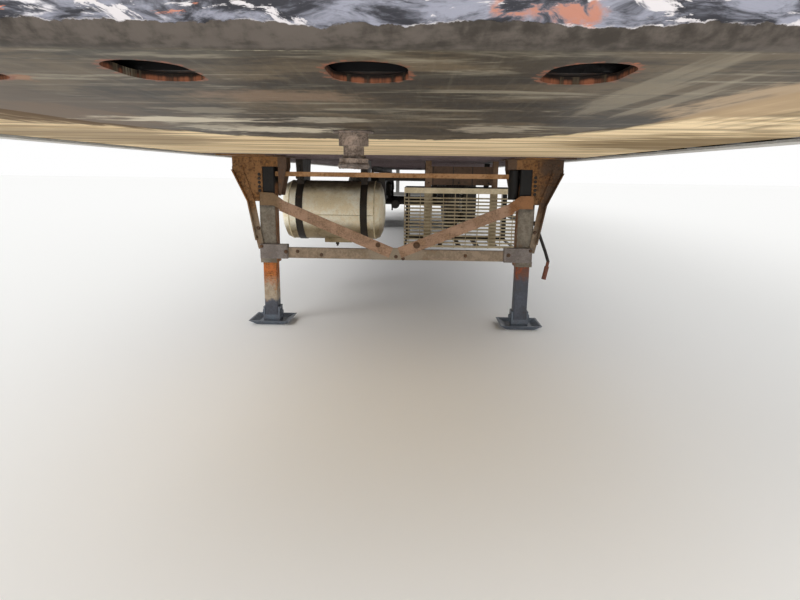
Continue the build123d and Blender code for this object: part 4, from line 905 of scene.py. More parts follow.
# Landing gear: bolts, shoe pins and gearbox cover
landingGear = {
    # the face's Y, then X, height and size of each bolt on it
    "diagonalBolts": (-4.450, (-0.121, 0.599, 1.1), (0.150, 0.602, 1.5)),
    "channelBolts": (-4.434, (-0.694, 0.542, 0.8), (-0.524, 0.520, 0.8), (0.494, 0.531, 0.8)),
    "gussetBolts": (-4.442, (0.056, 0.504, 0.8), (0.006, 0.517, 0.8)),
    "boxBolts": (-4.450, (-0.773, 0.540, 0.9), (0.793, 0.542, 0.9), (-0.945, 0.575, 0.8), (0.945, 0.575, 0.8)),
    "braceBolts": (-4.410, (-0.974, 0.700, 0.8), (-0.992, 0.636, 0.8), (0.974, 0.700, 0.8)),
    "bracketFace": -4.402, "stripX": 0.957, "stripZ": (1.073, 1.045, 1.017, 0.989, 0.961), "stripBoltSize": 0.7,
    "legX": 0.910, "shoePinZ": 0.075, "shoePinRadius": 0.017, "shoePinHalf": 0.075,
    "collarRadius": 0.02465, "collarWidth": 0.006, "collarInset": 0.012,
    "gearboxX": 0.817, "gearboxFace": -4.352, "gearboxZ": 1.021,
    "coverRadius": 0.030, "coverThickness": 0.010, "coverBoltCircle": 0.024,
}


def makeGearBolts():
    ahead = (0, -1, 0)
    places = []
    for key in ("diagonalBolts", "channelBolts", "gussetBolts", "boxBolts", "braceBolts"):
        face, *bolts = landingGear[key]
        places += [facing((x, face, z), ahead, size) for x, z, size in bolts]
    finishPiece(copies(boltShape, places), "gearBolts", "boltRust")
    x, face = landingGear["stripX"], landingGear["bracketFace"]
    places = [(side * x, face, z) for side in (1, -1) for z in landingGear["stripZ"]]
    bolts = facingCopies(boltShape, ahead, places, landingGear["stripBoltSize"])
    finishPiece(bolts, "legStripBolts", "boltDark")


def makeShoePins():
    low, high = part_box("leg_rams")
    radius, half = landingGear["shoePinRadius"], landingGear["shoePinHalf"]
    pins = []
    for side in (1, -1):
        middle = Vector((side * landingGear["legX"], (low.y + high.y) / 2, landingGear["shoePinZ"]))
        pins.append(addRound(radius, 2 * half, middle, "X", 16, 0.003, 2))
        for end in (1, -1):
            place = middle + Vector((end * (half - landingGear["collarInset"]), 0, 0))
            pins.append(addRound(landingGear["collarRadius"], landingGear["collarWidth"], place, "X", 16, 0.0015))
    finishPiece(pins, "shoePins", "shoeSteel")


def makeGearboxCover():
    x, y, z = landingGear["gearboxX"], landingGear["gearboxFace"], landingGear["gearboxZ"]
    thickness, circle = landingGear["coverThickness"], landingGear["coverBoltCircle"]
    cover = addRound(landingGear["coverRadius"], thickness, (x, y - thickness / 2, z), "Y", 28)
    insetFaces(lambda middle, way: way.y < -0.9, 0.009, 0.004)
    soften(0.0015, 1, lambda middle, way: middle.y < y - 0.009)
    turns = [radians(45 + 90 * i) for i in range(4)]
    places = [(x + circle * cos(turn), y - thickness, z + circle * sin(turn)) for turn in turns]
    bolts = facingCopies(boltShape, (0, -1, 0), places, 0.3)
    finishPiece([cover, bolts], "gearboxCover", "legBlack")


makeGearBolts()
makeShoePins()
makeGearboxCover()
print("landing gear dressed")

# Kingpin: lumps of old grease on the pin and on the plate round it
pinGrease = {
    "rough": 0.0035,
    # radius, thickness, height, how flat, seed: on the flange, on the neck and on the plate
    "rings": (
        (0.0345, 0.0052, 1.108, 1.5, 3),
        (0.0275, 0.0035, 1.128, 0.8, 5),
        (0.0435, 0.0075, 1.188, 0.5, 8),
    ),
}


def makePinGrease():
    lumps = []
    for major, minor, z, flat, seed in pinGrease["rings"]:
        clearSelection()
        bpy.ops.mesh.primitive_torus_add(
            location=(0, pinY, z), major_radius=major, minor_radius=minor, major_segments=72, minor_segments=12,
        )
        lumps.append(placed())
        editAll()
        bpy.ops.transform.resize(value=(1, 1, flat), center_override=(0, pinY, z))
        bpy.ops.transform.vertex_random(offset=pinGrease["rough"], uniform=0.4, normal=0.4, seed=seed)
        bpy.ops.mesh.vertices_smooth(factor=0.5, repeat=2)
        editDone()
    finishPiece(lumps, "pinGrease", "greaseLump", smooth=80)


makePinGrease()
print("kingpin greased")

# Tank: welds, strap bolts and drain cock
tank = {
    "radius": 0.254, "y": -3.337, "z": 0.768, "weldX": (-0.222, -0.948), "weldRadius": 0.0035, "seamZ": 0.738,
    "strapX": (-0.86, -0.31), "boltY": -3.497, "boltZ": 1.045, "barrelRadius": 0.011, "barrelLength": 0.072,
    "lugHalf": 0.026, "lugTall": 0.030, "rodRadius": 0.0065, "rodLength": 0.13, "rodAhead": 0.010,
    "drainX": -0.557, "drainY": -3.41, "drainZ": 0.487, "drainRadius": 0.017, "stemRadius": 0.009,
}


def makeTankWelds():
    size, (highX, lowX) = tank["weldRadius"], tank["weldX"]
    turns = [radians(45 * i) for i in range(8)]
    outline = [(size * 1.6 * cos(turn), tank["radius"] + size * 0.7 * sin(turn)) for turn in turns]
    beads = []
    for x in tank["weldX"]:
        bead = turnedRing(outline, 96)
        bead.matrix_world = Matrix.Translation((x, tank["y"], tank["z"]))
        beads.append(bead)
    depth = (tank["radius"] ** 2 - (tank["seamZ"] - tank["z"]) ** 2) ** 0.5
    place = ((lowX + highX) / 2, tank["y"] - depth, tank["seamZ"])
    beads.append(addRound(size, highX - lowX, place, "X", 8, size * 0.5))
    finishPiece(beads, "tankWelds", "weldBead", smooth=60)


def makeStrapBolts():
    y, z, lug = tank["boltY"], tank["boltZ"], tank["lugHalf"]
    rodY = y - tank["rodAhead"]
    parts = []
    for x in tank["strapX"]:
        parts += [
            addRound(tank["barrelRadius"], tank["barrelLength"], (x, y, z), "X", 16, 0.002),
            addBlock((x - lug, y - 0.006, z - tank["lugTall"]), (x + lug, y + 0.012, z), 0.003),
            addRound(tank["rodRadius"], tank["rodLength"], (x, rodY, z + 0.045), "Z", 12, 0.001),
            facingCopies(boltShape, (0, 0, 1), [(x, rodY, z + 0.085)]),
        ]
    finishPiece(parts, "strapBolts", "boltDark")


def makeDrainCock():
    x, y, z = tank["drainX"], tank["drainY"], tank["drainZ"]
    body = addRound(tank["drainRadius"], 0.016, (x, y, z - 0.008), "Z", 6)
    soften(0.0015)
    stem = addRound(tank["stemRadius"], 0.016, (x, y, z - 0.022), "Z", 14)
    soften(0.0015, 1, lambda middle, way: middle.z < z - 0.029)
    lever = addBlock((x - 0.004, y - 0.030, z - 0.030), (x + 0.004, y - 0.006, z - 0.024), 0.0015)
    finishPiece([body, stem, lever], "drainCock", "boltDark")


makeTankWelds()
makeStrapBolts()
makeDrainCock()
print("tank dressed")

# Rack: bars at the ends of the slats, bolts and seams on the panel
rack = {
    "barWidth": 0.006, "barProud": 0.002, "barDepth": 0.024,
    "panelFace": -3.508, "panelBolts": (0.240, 0.492, 0.743), "panelBoltZ": 1.018, "panelBoltSize": 0.55,
    "seamX": (0.272, 0.444, 0.605, 0.776), "seamHalf": 0.0035, "seamLow": 1.001, "seamHigh": 1.152,
}


def makeRackTrim():
    low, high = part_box("rack_grate")
    width, face = rack["barWidth"], rack["panelFace"]
    bars = [
        addBlock((x, low.y - rack["barProud"], low.z), (x + width, low.y + rack["barDepth"], high.z), 0.0012)
        for x in (low.x, high.x - width)
    ]
    finishPiece(bars, "rackEndBars", "rackSteelWithPaintedShade")
    places = [(x, face, rack["panelBoltZ"]) for x in rack["panelBolts"]]
    bolts = facingCopies(boltShape, (0, -1, 0), places, rack["panelBoltSize"])
    finishPiece(bolts, "panelBolts", "boltDark")
    half = rack["seamHalf"]
    seams = [
        addBlock((x - half, face - 0.004, rack["seamLow"]), (x + half, face + 0.002, rack["seamHigh"]), 0.001)
        for x in rack["seamX"]
    ]
    finishPiece(seams, "panelSeams", "boltDark")


makeRackTrim()
print("rack dressed")

# Tyres with ribbed treads, and wheels with hand holes, nuts and hub caps
wheelShape = {
    "radius": 0.525, "halfTrack": 0.984, "halfSpacing": 0.1715, "axleY": (3.463, 4.708), "tyreTurn": radians(2.1),
    # X and radius, from the rim out to the shoulder
    "sidewall": (
        (0.097, 0.2906), (0.108, 0.297), (0.122, 0.318), (0.1345, 0.360), (0.1388, 0.3975), (0.1388, 0.415),
        (0.1355, 0.448), (0.1290, 0.482), (0.1225, 0.503), (0.1195, 0.5135), (0.1140, 0.5195),
    ),
    "grooveX": (0.066, 0.022), "grooveHalf": 0.0045, "grooveDepth": 0.012, "crown": 0.0025, "steps": 84,
    "holeCount": 10, "holeRadius": 0.026, "holeCircle": 0.218, "holeX": 0.062, "holeDepth": 0.075,
    "nutCount": 10, "nutCircle": 0.1428, "discFace": 0.011,
    "hubEnd": 0.095, "capRadius": 0.070, "capHeight": 0.010, "capBoltCircle": 0.061, "capBoltSize": 0.45,
}


def treadOutline():
    size = wheelShape
    right = list(size["sidewall"])
    for x in size["grooveX"]:
        for edge, deep in ((1, 0), (1, 1), (-1, 1), (-1, 0)):
            place = x + edge * size["grooveHalf"] * (0.7 if deep else 1)
            drop = size["crown"] * (place / 0.11) ** 2 + (size["grooveDepth"] if deep else 0)
            right.append((place, size["radius"] - drop))
    return right + [(-x, radius) for x, radius in reversed(right)]


def makeTyre():
    tyre = turnedRing(treadOutline(), wheelShape["steps"])
    turn = 2 * pi / wheelShape["steps"]

    def cutHere(middle, low, high, radius):  # on every other step round the tread
        step = int((atan2(middle.z, middle.y) + pi) / turn)
        return low < abs(middle.x) < high and middle.yz.length > radius and step % 2 == 0

    # shoulder notches, fine cuts along the middle rib, raised rings on the sidewall
    insetFaces(lambda middle, way: cutHere(middle, 0.085, 0.118, 0.510), 0.0035, -0.004)
    insetFaces(lambda middle, way: cutHere(middle, -1, 0.010, 0.518), 0.006, -0.003)
    insetFaces(lambda middle, way: abs(middle.x) > 0.125 and 0.455 < middle.yz.length < 0.475, 0.0, 0.0012)
    tyre.name = "tyreShape"
    return tyre


def ringPlaces(count, radius, x, start=0.0):
    # points round the X axis, the first at a start given in steps
    turns = [2 * pi * (i + start) / count for i in range(count)]
    return [Vector((x, radius * cos(turn), radius * sin(turn))) for turn in turns]


def makeWheelTrim(side):
    size = wheelShape
    height, end = size["capHeight"], side * size["hubEnd"]
    way = (side, 0, 0)
    nutPlaces = ringPlaces(size["nutCount"], size["nutCircle"], side * size["discFace"])
    nuts = facingCopies(nutShape, way, nutPlaces)
    cap = addRound(size["capRadius"], height, (end + side * height / 2, 0, 0), "X", 40)
    insetFaces(lambda middle, way: way.x * side > 0.9, 0.016, 0.0)
    pick(lambda middle, way: way.x * side > 0.9 and middle.yz.length < 0.01)
    bpy.ops.mesh.inset(thickness=0.004, depth=0.006)
    editDone()
    soften(0.002, 2, lambda middle, way: abs(middle.x) > abs(end) + height * 0.9 and middle.yz.length > 0.06)
    boltPlaces = ringPlaces(6, size["capBoltCircle"], end + side * height * 0.9, 0.25)
    bolts = facingCopies(boltShape, way, boltPlaces, size["capBoltSize"])
    return joined([nuts, cap, bolts])


def makeWheels():
    size = wheelShape
    tyreShape = makeTyre()
    for side, sideName in ((1, "left"), (-1, "right")):
        trimShape = makeWheelTrim(side)
        for y, endName in zip(size["axleY"], ("front", "rear")):
            label = f"{endName}_{sideName}"
            body = f"wheel_{label}"
            hub = Vector((side * size["halfTrack"], y, size["radius"]))
            places = [
                Matrix.Translation((hub.x + away * size["halfSpacing"], hub.y, hub.z))
                @ Matrix.Rotation(away * size["tyreTurn"], 4, "X")
                for away in (1, -1)
            ]
            treads = copies(tyreShape, places)
            finishPiece(treads, f"treads_{label}", "tyreRubber", body, f"tyres_{label}", smooth=28)
            wheel = copyNode(f"wheels_{label}")
            holePlaces = ringPlaces(size["holeCount"], size["holeCircle"], side * size["holeX"], 0.5)
            holes = [addRound(size["holeRadius"], size["holeDepth"], hub + place, "X", 18) for place in holePlaces]
            wheel = cutAway(wheel, joined(holes))
            finishPiece(wheel, f"rims_{label}", "wheelWhite", body, f"wheels_{label}")
            trim = copies(trimShape, [Matrix.Translation(hub)])
            finishPiece(trim, f"wheelNuts_{label}", "nutSteel", body)
        bpy.data.objects.remove(trimShape)
    bpy.data.objects.remove(tyreShape)


makeWheels()
print("wheels and tyres ready")

# Bogie: lock holes in the rails, arm bolts, dampers and brake levers
bogie = {
    "railX": 0.560, "holeRadius": 0.019, "holeStart": 1.12, "holePitch": 0.15, "holeCount": 40,
    "damperTop": (0.470, -0.06, 0.90), "damperFoot": (0.470, 0.13, 0.555), "damperRadius": 0.032,
    "armTopZ": 0.648, "armBoltX": 0.024, "armBoltY": 0.065, "armBoltSize": 1.2,
    "leverX": 0.400, "leverForward": 0.120, "leverHalf": (0.014, 0.022), "leverLow": 0.345, "leverHigh": 0.535,
}


def makeDamper(top, foot):
    way = top - foot
    length, radius = way.length, bogie["damperRadius"]
    body = addRound(radius, length * 0.55, (0, 0, length * 0.27), "Z", 24, 0.004, 2)
    rod = addRound(radius * 0.55, length, (0, 0, length * 0.5), "Z", 16)
    cover = addRound(radius * 1.2, length * 0.42, (0, 0, length * 0.76), "Z", 24, 0.004, 2)
    damper = joined([body, rod, cover])
    damper.matrix_world = facing(foot, way)
    return placed()


def makeBogie():
    low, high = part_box("body_rails")
    start = (bogie["railX"], bogie["holeStart"], (low.z + high.z) / 2)
    cutter = inRow(addRound(bogie["holeRadius"], 0.4, start, "X", 14), bogie["holeCount"], (0, bogie["holePitch"], 0))
    rails = cutAway(copyNode("body_rails"), bothSides(cutter))
    finishPiece(rails, "slideRails", "bogieBlack", replaced="body_rails")
    bolts, dampers, levers = [], [], []
    (topX, topY, topZ), (footX, footY, footZ) = bogie["damperTop"], bogie["damperFoot"]
    halfX, halfY = bogie["leverHalf"]
    for y in wheelShape["axleY"]:
        for side in (1, -1):
            bolts += [
                (side * bogie["railX"] + x, y + along, bogie["armTopZ"])
                for x in (bogie["armBoltX"], -bogie["armBoltX"]) for along in (bogie["armBoltY"], -bogie["armBoltY"])
            ]
            top, foot = Vector((side * topX, y + topY, topZ)), Vector((side * footX, y + footY, footZ))
            dampers.append(makeDamper(top, foot))
            x, ahead = side * bogie["leverX"], y - bogie["leverForward"]
            levers.append(addBlock(
                (x - halfX, ahead - halfY, bogie["leverLow"]), (x + halfX, ahead + halfY, bogie["leverHigh"]),
                0.010, 3, lambda middle, way: abs(way.x) > 0.9,
            ))
    bolts = facingCopies(boltShape, (0, 0, 1), bolts, bogie["armBoltSize"])
    finishPiece(bolts, "armBolts", "boltDark")
    finishPiece(dampers, "dampers", "bogieBlack")
    finishPiece(levers, "slackLevers", "boltDark")


makeBogie()
print("bogie dressed")

# Body: joint strips, rivets and safety tape along the sides, strips and rivets on the roof
shell = {
    "wallX": 1.280, "railX": 1.284, "jointStart": -6.45, "jointPitch": 1.2192, "jointCount": 12,
    "jointHalf": 0.028, "jointProud": 0.0012, "jointLow": 1.442, "jointHigh": 3.968,
    "rivetPitch": 0.1, "rivetOffset": 0.016, "rivetLow": 1.50, "rivetsUp": 25,
    "railRivetZ": (1.225, 1.415, 3.985), "railRivetStart": -7.58, "railRivets": 156,
    "tapeRed": 0.28, "tapeWhite": 0.18, "tapeLow": 1.250, "tapeHigh": 1.300, "tapeThickness": 0.0006,
    "tapeStart": -7.50, "tapeCount": 33,
    "roofStripHalf": 1.17, "roofStripWidth": 0.04, "roofStripDrop": 0.0161, "roofStripThickness": 0.001,
    "roofCrown": 0.0145, "roofHalf": 1.2, "roofRivetX": 1.235, "roofRivetStart": -7.5, "roofRivets": 155,
    "roofRivetDrop": 0.015,
}


def makeSides():
    wall, rail, start = shell["wallX"], shell["railX"], shell["jointStart"]
    face, half, count = wall + shell["jointProud"], shell["jointHalf"], shell["jointCount"]
    alongStep = (0, shell["jointPitch"], 0)
    strip = addBlock(
        (wall - 0.001, start - half, shell["jointLow"]), (face, start + half, shell["jointHigh"]),
        0.0008, 1, lambda middle, way: middle.x > wall,
    )
    finishPiece(bothSides(inRow(strip, count, alongStep)), "wallJoints", "wallSkin")

    rows = []
    for offset in (-shell["rivetOffset"], shell["rivetOffset"]):
        rivet = facingCopies(rivetShape, (1, 0, 0), [(face, start + offset, shell["rivetLow"])])
        inRow(rivet, shell["rivetsUp"], (0, 0, shell["rivetPitch"]))
        rows.append(inRow(rivet, count, alongStep))
    for z in shell["railRivetZ"]:
        rivet = facingCopies(rivetShape, (1, 0, 0), [(rail, shell["railRivetStart"], z)])
        rows.append(inRow(rivet, shell["railRivets"], (0, shell["rivetPitch"], 0)))
    finishPiece(bothSides(joined(rows)), "wallRivets", "wallSkin", smooth=60)

    begin, step = shell["tapeStart"], shell["tapeRed"] + shell["tapeWhite"]
    for name in ("tapeRed", "tapeWhite"):
        tape = addBlock(
            (rail - 0.0005, begin, shell["tapeLow"]),
            (rail + shell["tapeThickness"], begin + shell[name], shell["tapeHigh"]),
            0.0004, 1, lambda middle, way: middle.x > rail,
        )
        tape = bothSides(inRow(tape, shell["tapeCount"], (0, step, 0)))
        finishPiece(tape, name, name)
        begin += shell[name]


def makeRoofTrim():
    # cover strips over the roof bows, and rivets along the edges
    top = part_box("roof")[1].z
    half, low, start = shell["roofStripHalf"], top - shell["roofStripDrop"], shell["jointStart"]
    strip = addBlock(
        (-half, start, low), (half, start + shell["roofStripWidth"], low + shell["roofStripThickness"]),
    )
    pick(lambda middle, way: True)
    bpy.ops.mesh.subdivide(number_cuts=10)
    editDone()
    for vertex in strip.data.vertices:
        vertex.co.z += shell["roofCrown"] * (1 - (vertex.co.x / shell["roofHalf"]) ** 2)
    strips = inRow(strip, shell["jointCount"], (0, shell["jointPitch"], 0))
    finishPiece(strips, "roofStrips", "roofMetal")
    place = (shell["roofRivetX"], shell["roofRivetStart"], top - shell["roofRivetDrop"])
    rivet = facingCopies(rivetShape, (0, 0, 1), [place])
    rivets = bothSides(inRow(rivet, shell["roofRivets"], (0, shell["rivetPitch"], 0)))
    finishPiece(rivets, "roofRivets", "roofMetal", smooth=60)


makeSides()
makeRoofTrim()
print("body sides and roof dressed")

# Cooling unit: door seams cut into the case, latches and hinges on its sides, grille wires
unit = {
    "front": -8.337, "seamWidth": 0.007, "seamDepth": 0.005,
    "uprights": ((-0.90, 1.86, 3.90), (0.0, 1.86, 2.86), (0.90, 1.86, 3.90)),  # X, from and to this height
    "levels": ((1.86, -0.90, 0.90), (2.86, -0.90, 0.90), (3.88, -0.90, 0.90)),  # height, from and to this X
    "pocketX": (-0.11, 0.11), "pocketZ": 2.32, "pocketHalf": (0.045, 0.06), "pocketDepth": 0.018,
    "paddleHalf": 0.032, "paddleDown": 0.045, "paddleUp": 0.020,
    "hingeZ": (2.05, 2.70, 3.05, 3.72), "hingeY": -8.22, "sideX": 1.020, "hingeRadius": 0.012, "hingeLength": 0.09,
    "leafLength": 0.06, "leafHalf": 0.04, "wireWidth": 0.003, "wirePitch": 0.03, "wireInset": 0.03,
}


def makeUnit():
    case = copyNode("cooling_unit")
    half, front = unit["seamWidth"] / 2, unit["front"]
    bottom = front + unit["seamDepth"]
    cuts = [((x - half, low), (x + half, high), bottom) for x, low, high in unit["uprights"]]
    cuts += [((low, z - half), (high, z + half), bottom) for z, low, high in unit["levels"]]
    halfX, halfZ = unit["pocketHalf"]
    for x in unit["pocketX"]:
        z = unit["pocketZ"]
        cuts.append(((x - halfX, z - halfZ), (x + halfX, z + halfZ), front + unit["pocketDepth"]))
    for (lowX, lowZ), (highX, highZ), deep in cuts:
        case = cutAway(case, addBlock((lowX, front - 0.01, lowZ), (highX, deep, highZ)))
    finishPiece(case, "unitCase", "unitSkin", replaced="cooling_unit", smooth=5)

    parts = []
    for x in unit["pocketX"]:
        parts.append(addBlock(
            (x - unit["paddleHalf"], front + 0.004, unit["pocketZ"] - unit["paddleDown"]),
            (x + unit["paddleHalf"], front + 0.014, unit["pocketZ"] + unit["paddleUp"]), 0.004, 2,
        ))
    y, leafHalf = unit["hingeY"], unit["leafHalf"]
    for z in unit["hingeZ"]:
        for side in (1, -1):
            x = side * unit["sideX"]
            place = (x + side * 0.008, y, z)
            parts.append(addRound(unit["hingeRadius"], unit["hingeLength"], place, "Z", 14, 0.002))
            leafEnd = (x + 0.004, y + unit["leafLength"], z + leafHalf)
            parts.append(addBlock((x - 0.002, y, z - leafHalf), leafEnd, 0.0015))
    finishPiece(parts, "unitLatches", "zincPlate")

    low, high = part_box("cooling_grille")
    inset, width, pitch = unit["wireInset"], unit["wireWidth"], unit["wirePitch"]
    wire = addBlock(
        (low.x + inset, high.y - 2 * width, low.z + inset), (low.x + inset + width, high.y - width, high.z - inset),
        0.0008, 1, lambda middle, way: abs(way.z) > 0.9,
    )
    inRow(wire, int((high.x - low.x - 2 * inset) / pitch), (pitch, 0, 0))
    finishPiece(wire, "grilleWires", "bogieBlack")


# Connectors: seals and lugs of the air couplings, lid and hinge of the power socket, bolts
connectors = {
    "faceY": -7.913, "airX": 0.16, "sealRadius": 0.024, "sealThickness": 0.012, "lugHalf": 0.030,
    "lidHalf": 0.045, "lidY": (-0.068, -0.060), "hingeY": -0.060, "hingeZ": 0.050, "hingeRadius": 0.006,
    "boltX": 0.21, "boltZ": 0.055, "boltSize": 0.8,
}


def makeConnectors():
    size = connectors
    low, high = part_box("nose_connectors")
    y, z, thickness = size["faceY"], (low.z + high.z) / 2, size["sealThickness"]
    parts = []
    for x in (-size["airX"], size["airX"]):
        seal = addRound(size["sealRadius"], thickness, (x, low.y - thickness / 2, z + 0.012), "Y", 24)
        insetFaces(lambda middle, way: way.y < -0.9, 0.010, -0.006)
        lugLow, lugHigh = (x - size["lugHalf"], low.y - 0.010, z - 0.040), (x + size["lugHalf"], low.y, z - 0.022)
        parts += [seal, addBlock(lugLow, lugHigh, 0.003)]
    half, (lidFace, lidBack) = size["lidHalf"], size["lidY"]
    lidLow, lidHigh = (-half, y + lidFace, z - half), (half, y + lidBack, z + half)
    parts.append(addBlock(lidLow, lidHigh, 0.010, 3, lambda middle, way: abs(way.y) > 0.9))
    hingePlace = (0, y + size["hingeY"], z + size["hingeZ"])
    parts.append(addRound(size["hingeRadius"], 0.07, hingePlace, "X", 12, 0.001))
    places = [(x, y, z + up) for x in (-size["boltX"], size["boltX"]) for up in (-size["boltZ"], size["boltZ"])]
    parts.append(facingCopies(boltShape, (0, -1, 0), places, size["boltSize"]))
    finishPiece(parts, "connectorTrim", "bogieBlack")


makeUnit()
makeConnectors()
print("nose dressed")

# Rear: door seals, lock rod guides, cams and keepers, handle catches, lamp rings, tape, bumper and flap bolts
rear = {
    "skin": 8.247, "doorLow": 1.416, "doorHigh": 3.994, "doorInner": 0.006, "doorOuter": 1.184,
    "sealWidth": 0.022, "sealProud": 0.003, "sealInset": 0.012, "sealThickness": 0.002,
    "rodX": (0.380, 0.900), "rodOffset": 0.022, "guideZ": (1.506, 2.305, 3.105, 3.904),
    "guideHalf": (0.062, 0.028), "guideThickness": 0.0025,
    "guideBoltX": 0.048, "guideBoltZ": 0.015, "guideBoltSize": 0.6,
    "hingeZ": (1.606, 2.339, 3.071, 3.804), "pinX": 1.288, "leafFace": 8.274,
    "domeAway": (0.125, 0.165), "domeZ": 0.016, "domeSize": 1.1,
    "keeperZ": (1.333, 4.085), "keeperHalf": (0.045, 0.014), "keeperDepth": 0.016,
    "camZ": (1.375, 4.045), "camLow": (-0.016, 0.006, -0.012), "camHigh": (0.030, 0.038, 0.012),
    "handleZ": 1.850, "gripX": 0.28, "gripRadius": 0.016, "gripLength": 0.10, "catchX": 0.21, "catchHalf": 0.02,
    "ventX": 0.64, "ventZ": 3.50, "ventHalf": 0.13, "ventProud": 0.012, "ventFrame": 0.022, "ventCatchHalf": 0.02,
    "lampZ": 1.250, "lampX": (0.560, 0.690, 0.820),
    "ringOutline": (
        (0.001, 0.0522), (0.009, 0.0525), (0.0115, 0.0555), (0.009, 0.0600), (0.001, 0.0620), (-0.001, 0.0570),
    ),
    "bumperX": 1.000, "bumperZ": 1.252, "bumperFace": 8.3295, "bumperBoltX": 0.06, "bumperBoltSize": 0.62,
    "guardStart": -1.14, "guardPitch": 0.33, "guardRed": 0.2, "guardLow": 0.485, "guardHigh": 0.535,
    "flapX": 0.984, "flapBoltX": (-0.25, -0.08, 0.08, 0.25), "flapBoltZ": 0.965,
    "ribX": 0.72, "ribWidth": 0.015, "ribPitch": 0.0571, "ribs": 10, "ribLow": 0.27, "ribHigh": 0.90, "ribProud": 0.004,
}


def makeSeal(side, body):
    # a rubber frame round the door: its two broad faces are opened and the rest gets a wall
    skin = rear["skin"]
    inner, outer = sorted((side * rear["doorInner"], side * rear["doorOuter"]))
    low, high = rear["doorLow"], rear["doorHigh"]
    seal = addBlock((inner, skin - rear["sealInset"], low), (outer, skin + rear["sealProud"], high))
    insetFaces(lambda middle, way: way.y > 0.9, rear["sealWidth"], 0.0)
    centre = Vector(((inner + outer) / 2, 0, (low + high) / 2))
    for test in (
        lambda middle, way: way.y > 0.9 and abs(middle.x - centre.x) < 0.3 and abs(middle.z - centre.z) < 0.3,
        lambda middle, way: way.y < -0.9,
    ):
        pick(test)
        bpy.ops.mesh.delete(type="FACE")
        editDone()
    modified(seal, "SOLIDIFY", thickness=rear["sealThickness"])
    finishPiece(seal, f"{body}_seal", "sealRubber", body)


def makeDoorTrim(side, body):
    skin, handleZ = rear["skin"], rear["handleZ"]
    out = (0, 1, 0)
    bolts = [
        (side * x + off, skin, z + up) for x in rear["rodX"] for z in rear["guideZ"]
        for off in (-rear["guideBoltX"], rear["guideBoltX"]) for up in (-rear["guideBoltZ"], rear["guideBoltZ"])
    ]
    domes = [
        (side * (rear["pinX"] - away), rear["leafFace"], z + up)
        for z in rear["hingeZ"] for away in rear["domeAway"] for up in (-rear["domeZ"], rear["domeZ"])
    ]
    parts = [
        facingCopies(boltShape, out, bolts, rear["guideBoltSize"]),
        facingCopies(rivetShape, out, domes, rear["domeSize"]),
    ]
    halfX, halfZ = rear["guideHalf"]
    for x in rear["rodX"]:
        for z in rear["guideZ"]:
            low = (side * x - halfX, skin - 0.001, z - halfZ)
            high = (side * x + halfX, skin + rear["guideThickness"], z + halfZ)
            parts.append(addBlock(low, high, 0.006, 2, lambda middle, way: abs(way.y) > 0.9))
        for z in rear["camZ"]:
            place = Vector((side * x, skin, z))
            parts.append(addBlock(place + Vector(rear["camLow"]), place + Vector(rear["camHigh"]), 0.004, 2))
        place = (side * (x - rear["gripX"]), skin + rear["rodOffset"], handleZ + 0.015)
        parts.append(addRound(rear["gripRadius"], rear["gripLength"], place, "X", 16, 0.004, 2))
        catchX = side * (x - rear["catchX"])
        low = (catchX - rear["catchHalf"], skin - 0.001, handleZ - 0.045)
        high = (catchX + rear["catchHalf"], skin + 0.030, handleZ - 0.004)
        parts.append(addBlock(low, high, 0.005, 2))
    finishPiece(parts, f"{body}_fittings", "zincPlate", body)


def makeVent():
    # fresh-air door, high in one door, with its frame and catch
    x, z, half, skin = rear["ventX"], rear["ventZ"], rear["ventHalf"], rear["skin"]
    vent = addBlock((x - half, skin - 0.001, z - half), (x + half, skin + rear["ventProud"], z + half))
    pick(lambda middle, way: way.y > 0.9)
    bpy.ops.mesh.inset(thickness=rear["ventFrame"], depth=0.0)
    bpy.ops.mesh.inset(thickness=0.004, depth=-0.005)
    editDone()
    soften(0.0015, 2)
    low = (x - rear["ventCatchHalf"], skin + 0.006, z - half + 0.03)
    high = (x + rear["ventCatchHalf"], skin + 0.022, z - half + 0.07)
    finishPiece([vent, addBlock(low, high, 0.004, 2)], "ventDoor", "unitSkin", "door_left")


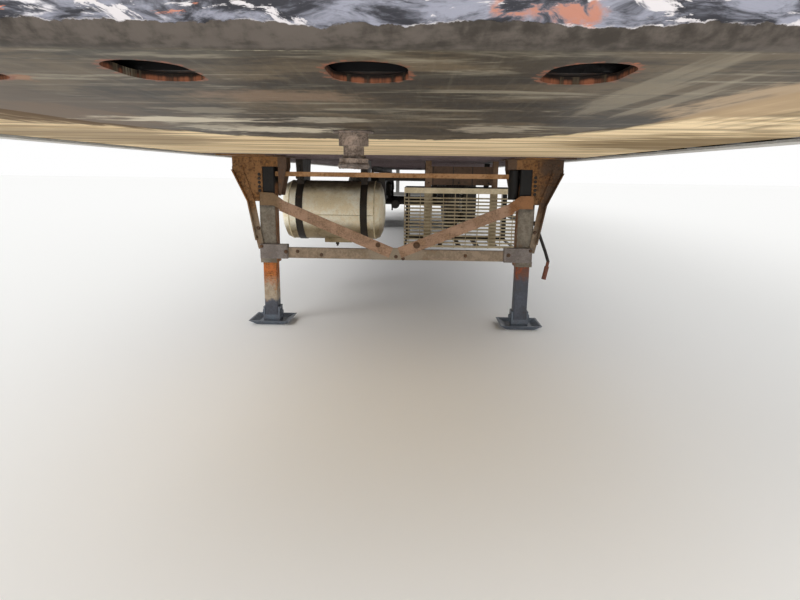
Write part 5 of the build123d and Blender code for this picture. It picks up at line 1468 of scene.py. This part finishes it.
def makeRearTrim():
    skin, out = rear["skin"], (0, 1, 0)
    halfX, halfZ = rear["keeperHalf"]
    keepers = [
        addBlock(
            (side * x - halfX, skin - 0.001, z - halfZ), (side * x + halfX, skin + rear["keeperDepth"], z + halfZ),
            0.003, 2,
        )
        for side in (1, -1) for x in rear["rodX"] for z in rear["keeperZ"]
    ]
    finishPiece(keepers, "rodKeepers", "zincPlate")

    rings = []
    for side in (1, -1):
        for x in rear["lampX"]:
            ring = turnedRing(rear["ringOutline"], 40)
            place = Matrix.Translation((side * x, skin, rear["lampZ"]))
            ring.matrix_world = place @ Matrix.Rotation(radians(90), 4, "Z")
            rings.append(ring)
    finishPiece(rings, "lampRings", "sealRubber")

    places = [
        (side * rear["bumperX"] + off, rear["bumperFace"], rear["bumperZ"])
        for side in (1, -1) for off in (-rear["bumperBoltX"], rear["bumperBoltX"])
    ]
    bolts = facingCopies(boltShape, out, places, rear["bumperBoltSize"])
    finishPiece(bolts, "bumperBolts", "zincPlate")

    start, red, pitch = rear["guardStart"], rear["guardRed"], rear["guardPitch"]
    for name, finish, begin, end, count in (
        ("guardTapeRed", "tapeRed", 0.0, red, 7), ("guardTapeWhite", "tapeWhite", red, pitch, 6),
    ):
        low = (start + begin, skin - 0.0205, rear["guardLow"])
        high = (start + end, skin - 0.0194, rear["guardHigh"])
        tape = addBlock(low, high, 0.0003, 1, lambda middle, way: middle.y > skin - 0.02)
        finishPiece(inRow(tape, count, (pitch, 0, 0)), name, finish)

    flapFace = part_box("mud_flaps")[1].y
    places = [
        (side * rear["flapX"] + x, flapFace, rear["flapBoltZ"]) for side in (1, -1) for x in rear["flapBoltX"]
    ]
    finishPiece(facingCopies(boltShape, out, places), "flapBolts", "zincPlate")
    low = (rear["ribX"], flapFace - 0.001, rear["ribLow"])
    high = (rear["ribX"] + rear["ribWidth"], flapFace + rear["ribProud"], rear["ribHigh"])
    rib = addBlock(low, high, 0.002, 1, lambda middle, way: middle.y > flapFace)
    ribs = bothSides(inRow(rib, rear["ribs"], (rear["ribPitch"], 0, 0)))
    finishPiece(ribs, "flapRibs", "rubberBlack")


# Inside: kick plates along the walls, with rivets
kickPlate = {
    "low": (1.2165, -7.55, 1.412), "high": (1.2182, 8.10, 1.72),
    "rivetStart": (1.2165, -7.4, 1.69), "rivets": 77, "rivetPitch": 0.2,
}


def makeInside():
    plates = addBlock(kickPlate["low"], kickPlate["high"], 0.0006)
    rivet = facingCopies(rivetShape, (-1, 0, 0), [kickPlate["rivetStart"]])
    rivets = inRow(rivet, kickPlate["rivets"], (0, kickPlate["rivetPitch"], 0))
    finishPiece(bothSides(joined([plates, rivets])), "kickPlates", "roofMetal")


for side, body in ((1, "door_left"), (-1, "door_right")):
    makeSeal(side, body)
    makeDoorTrim(side, body)
makeVent()
makeRearTrim()
makeInside()
for master in (boltShape, nutShape, rivetShape):
    bpy.data.objects.remove(master)
print("rear and inside dressed")

print("scene finished")
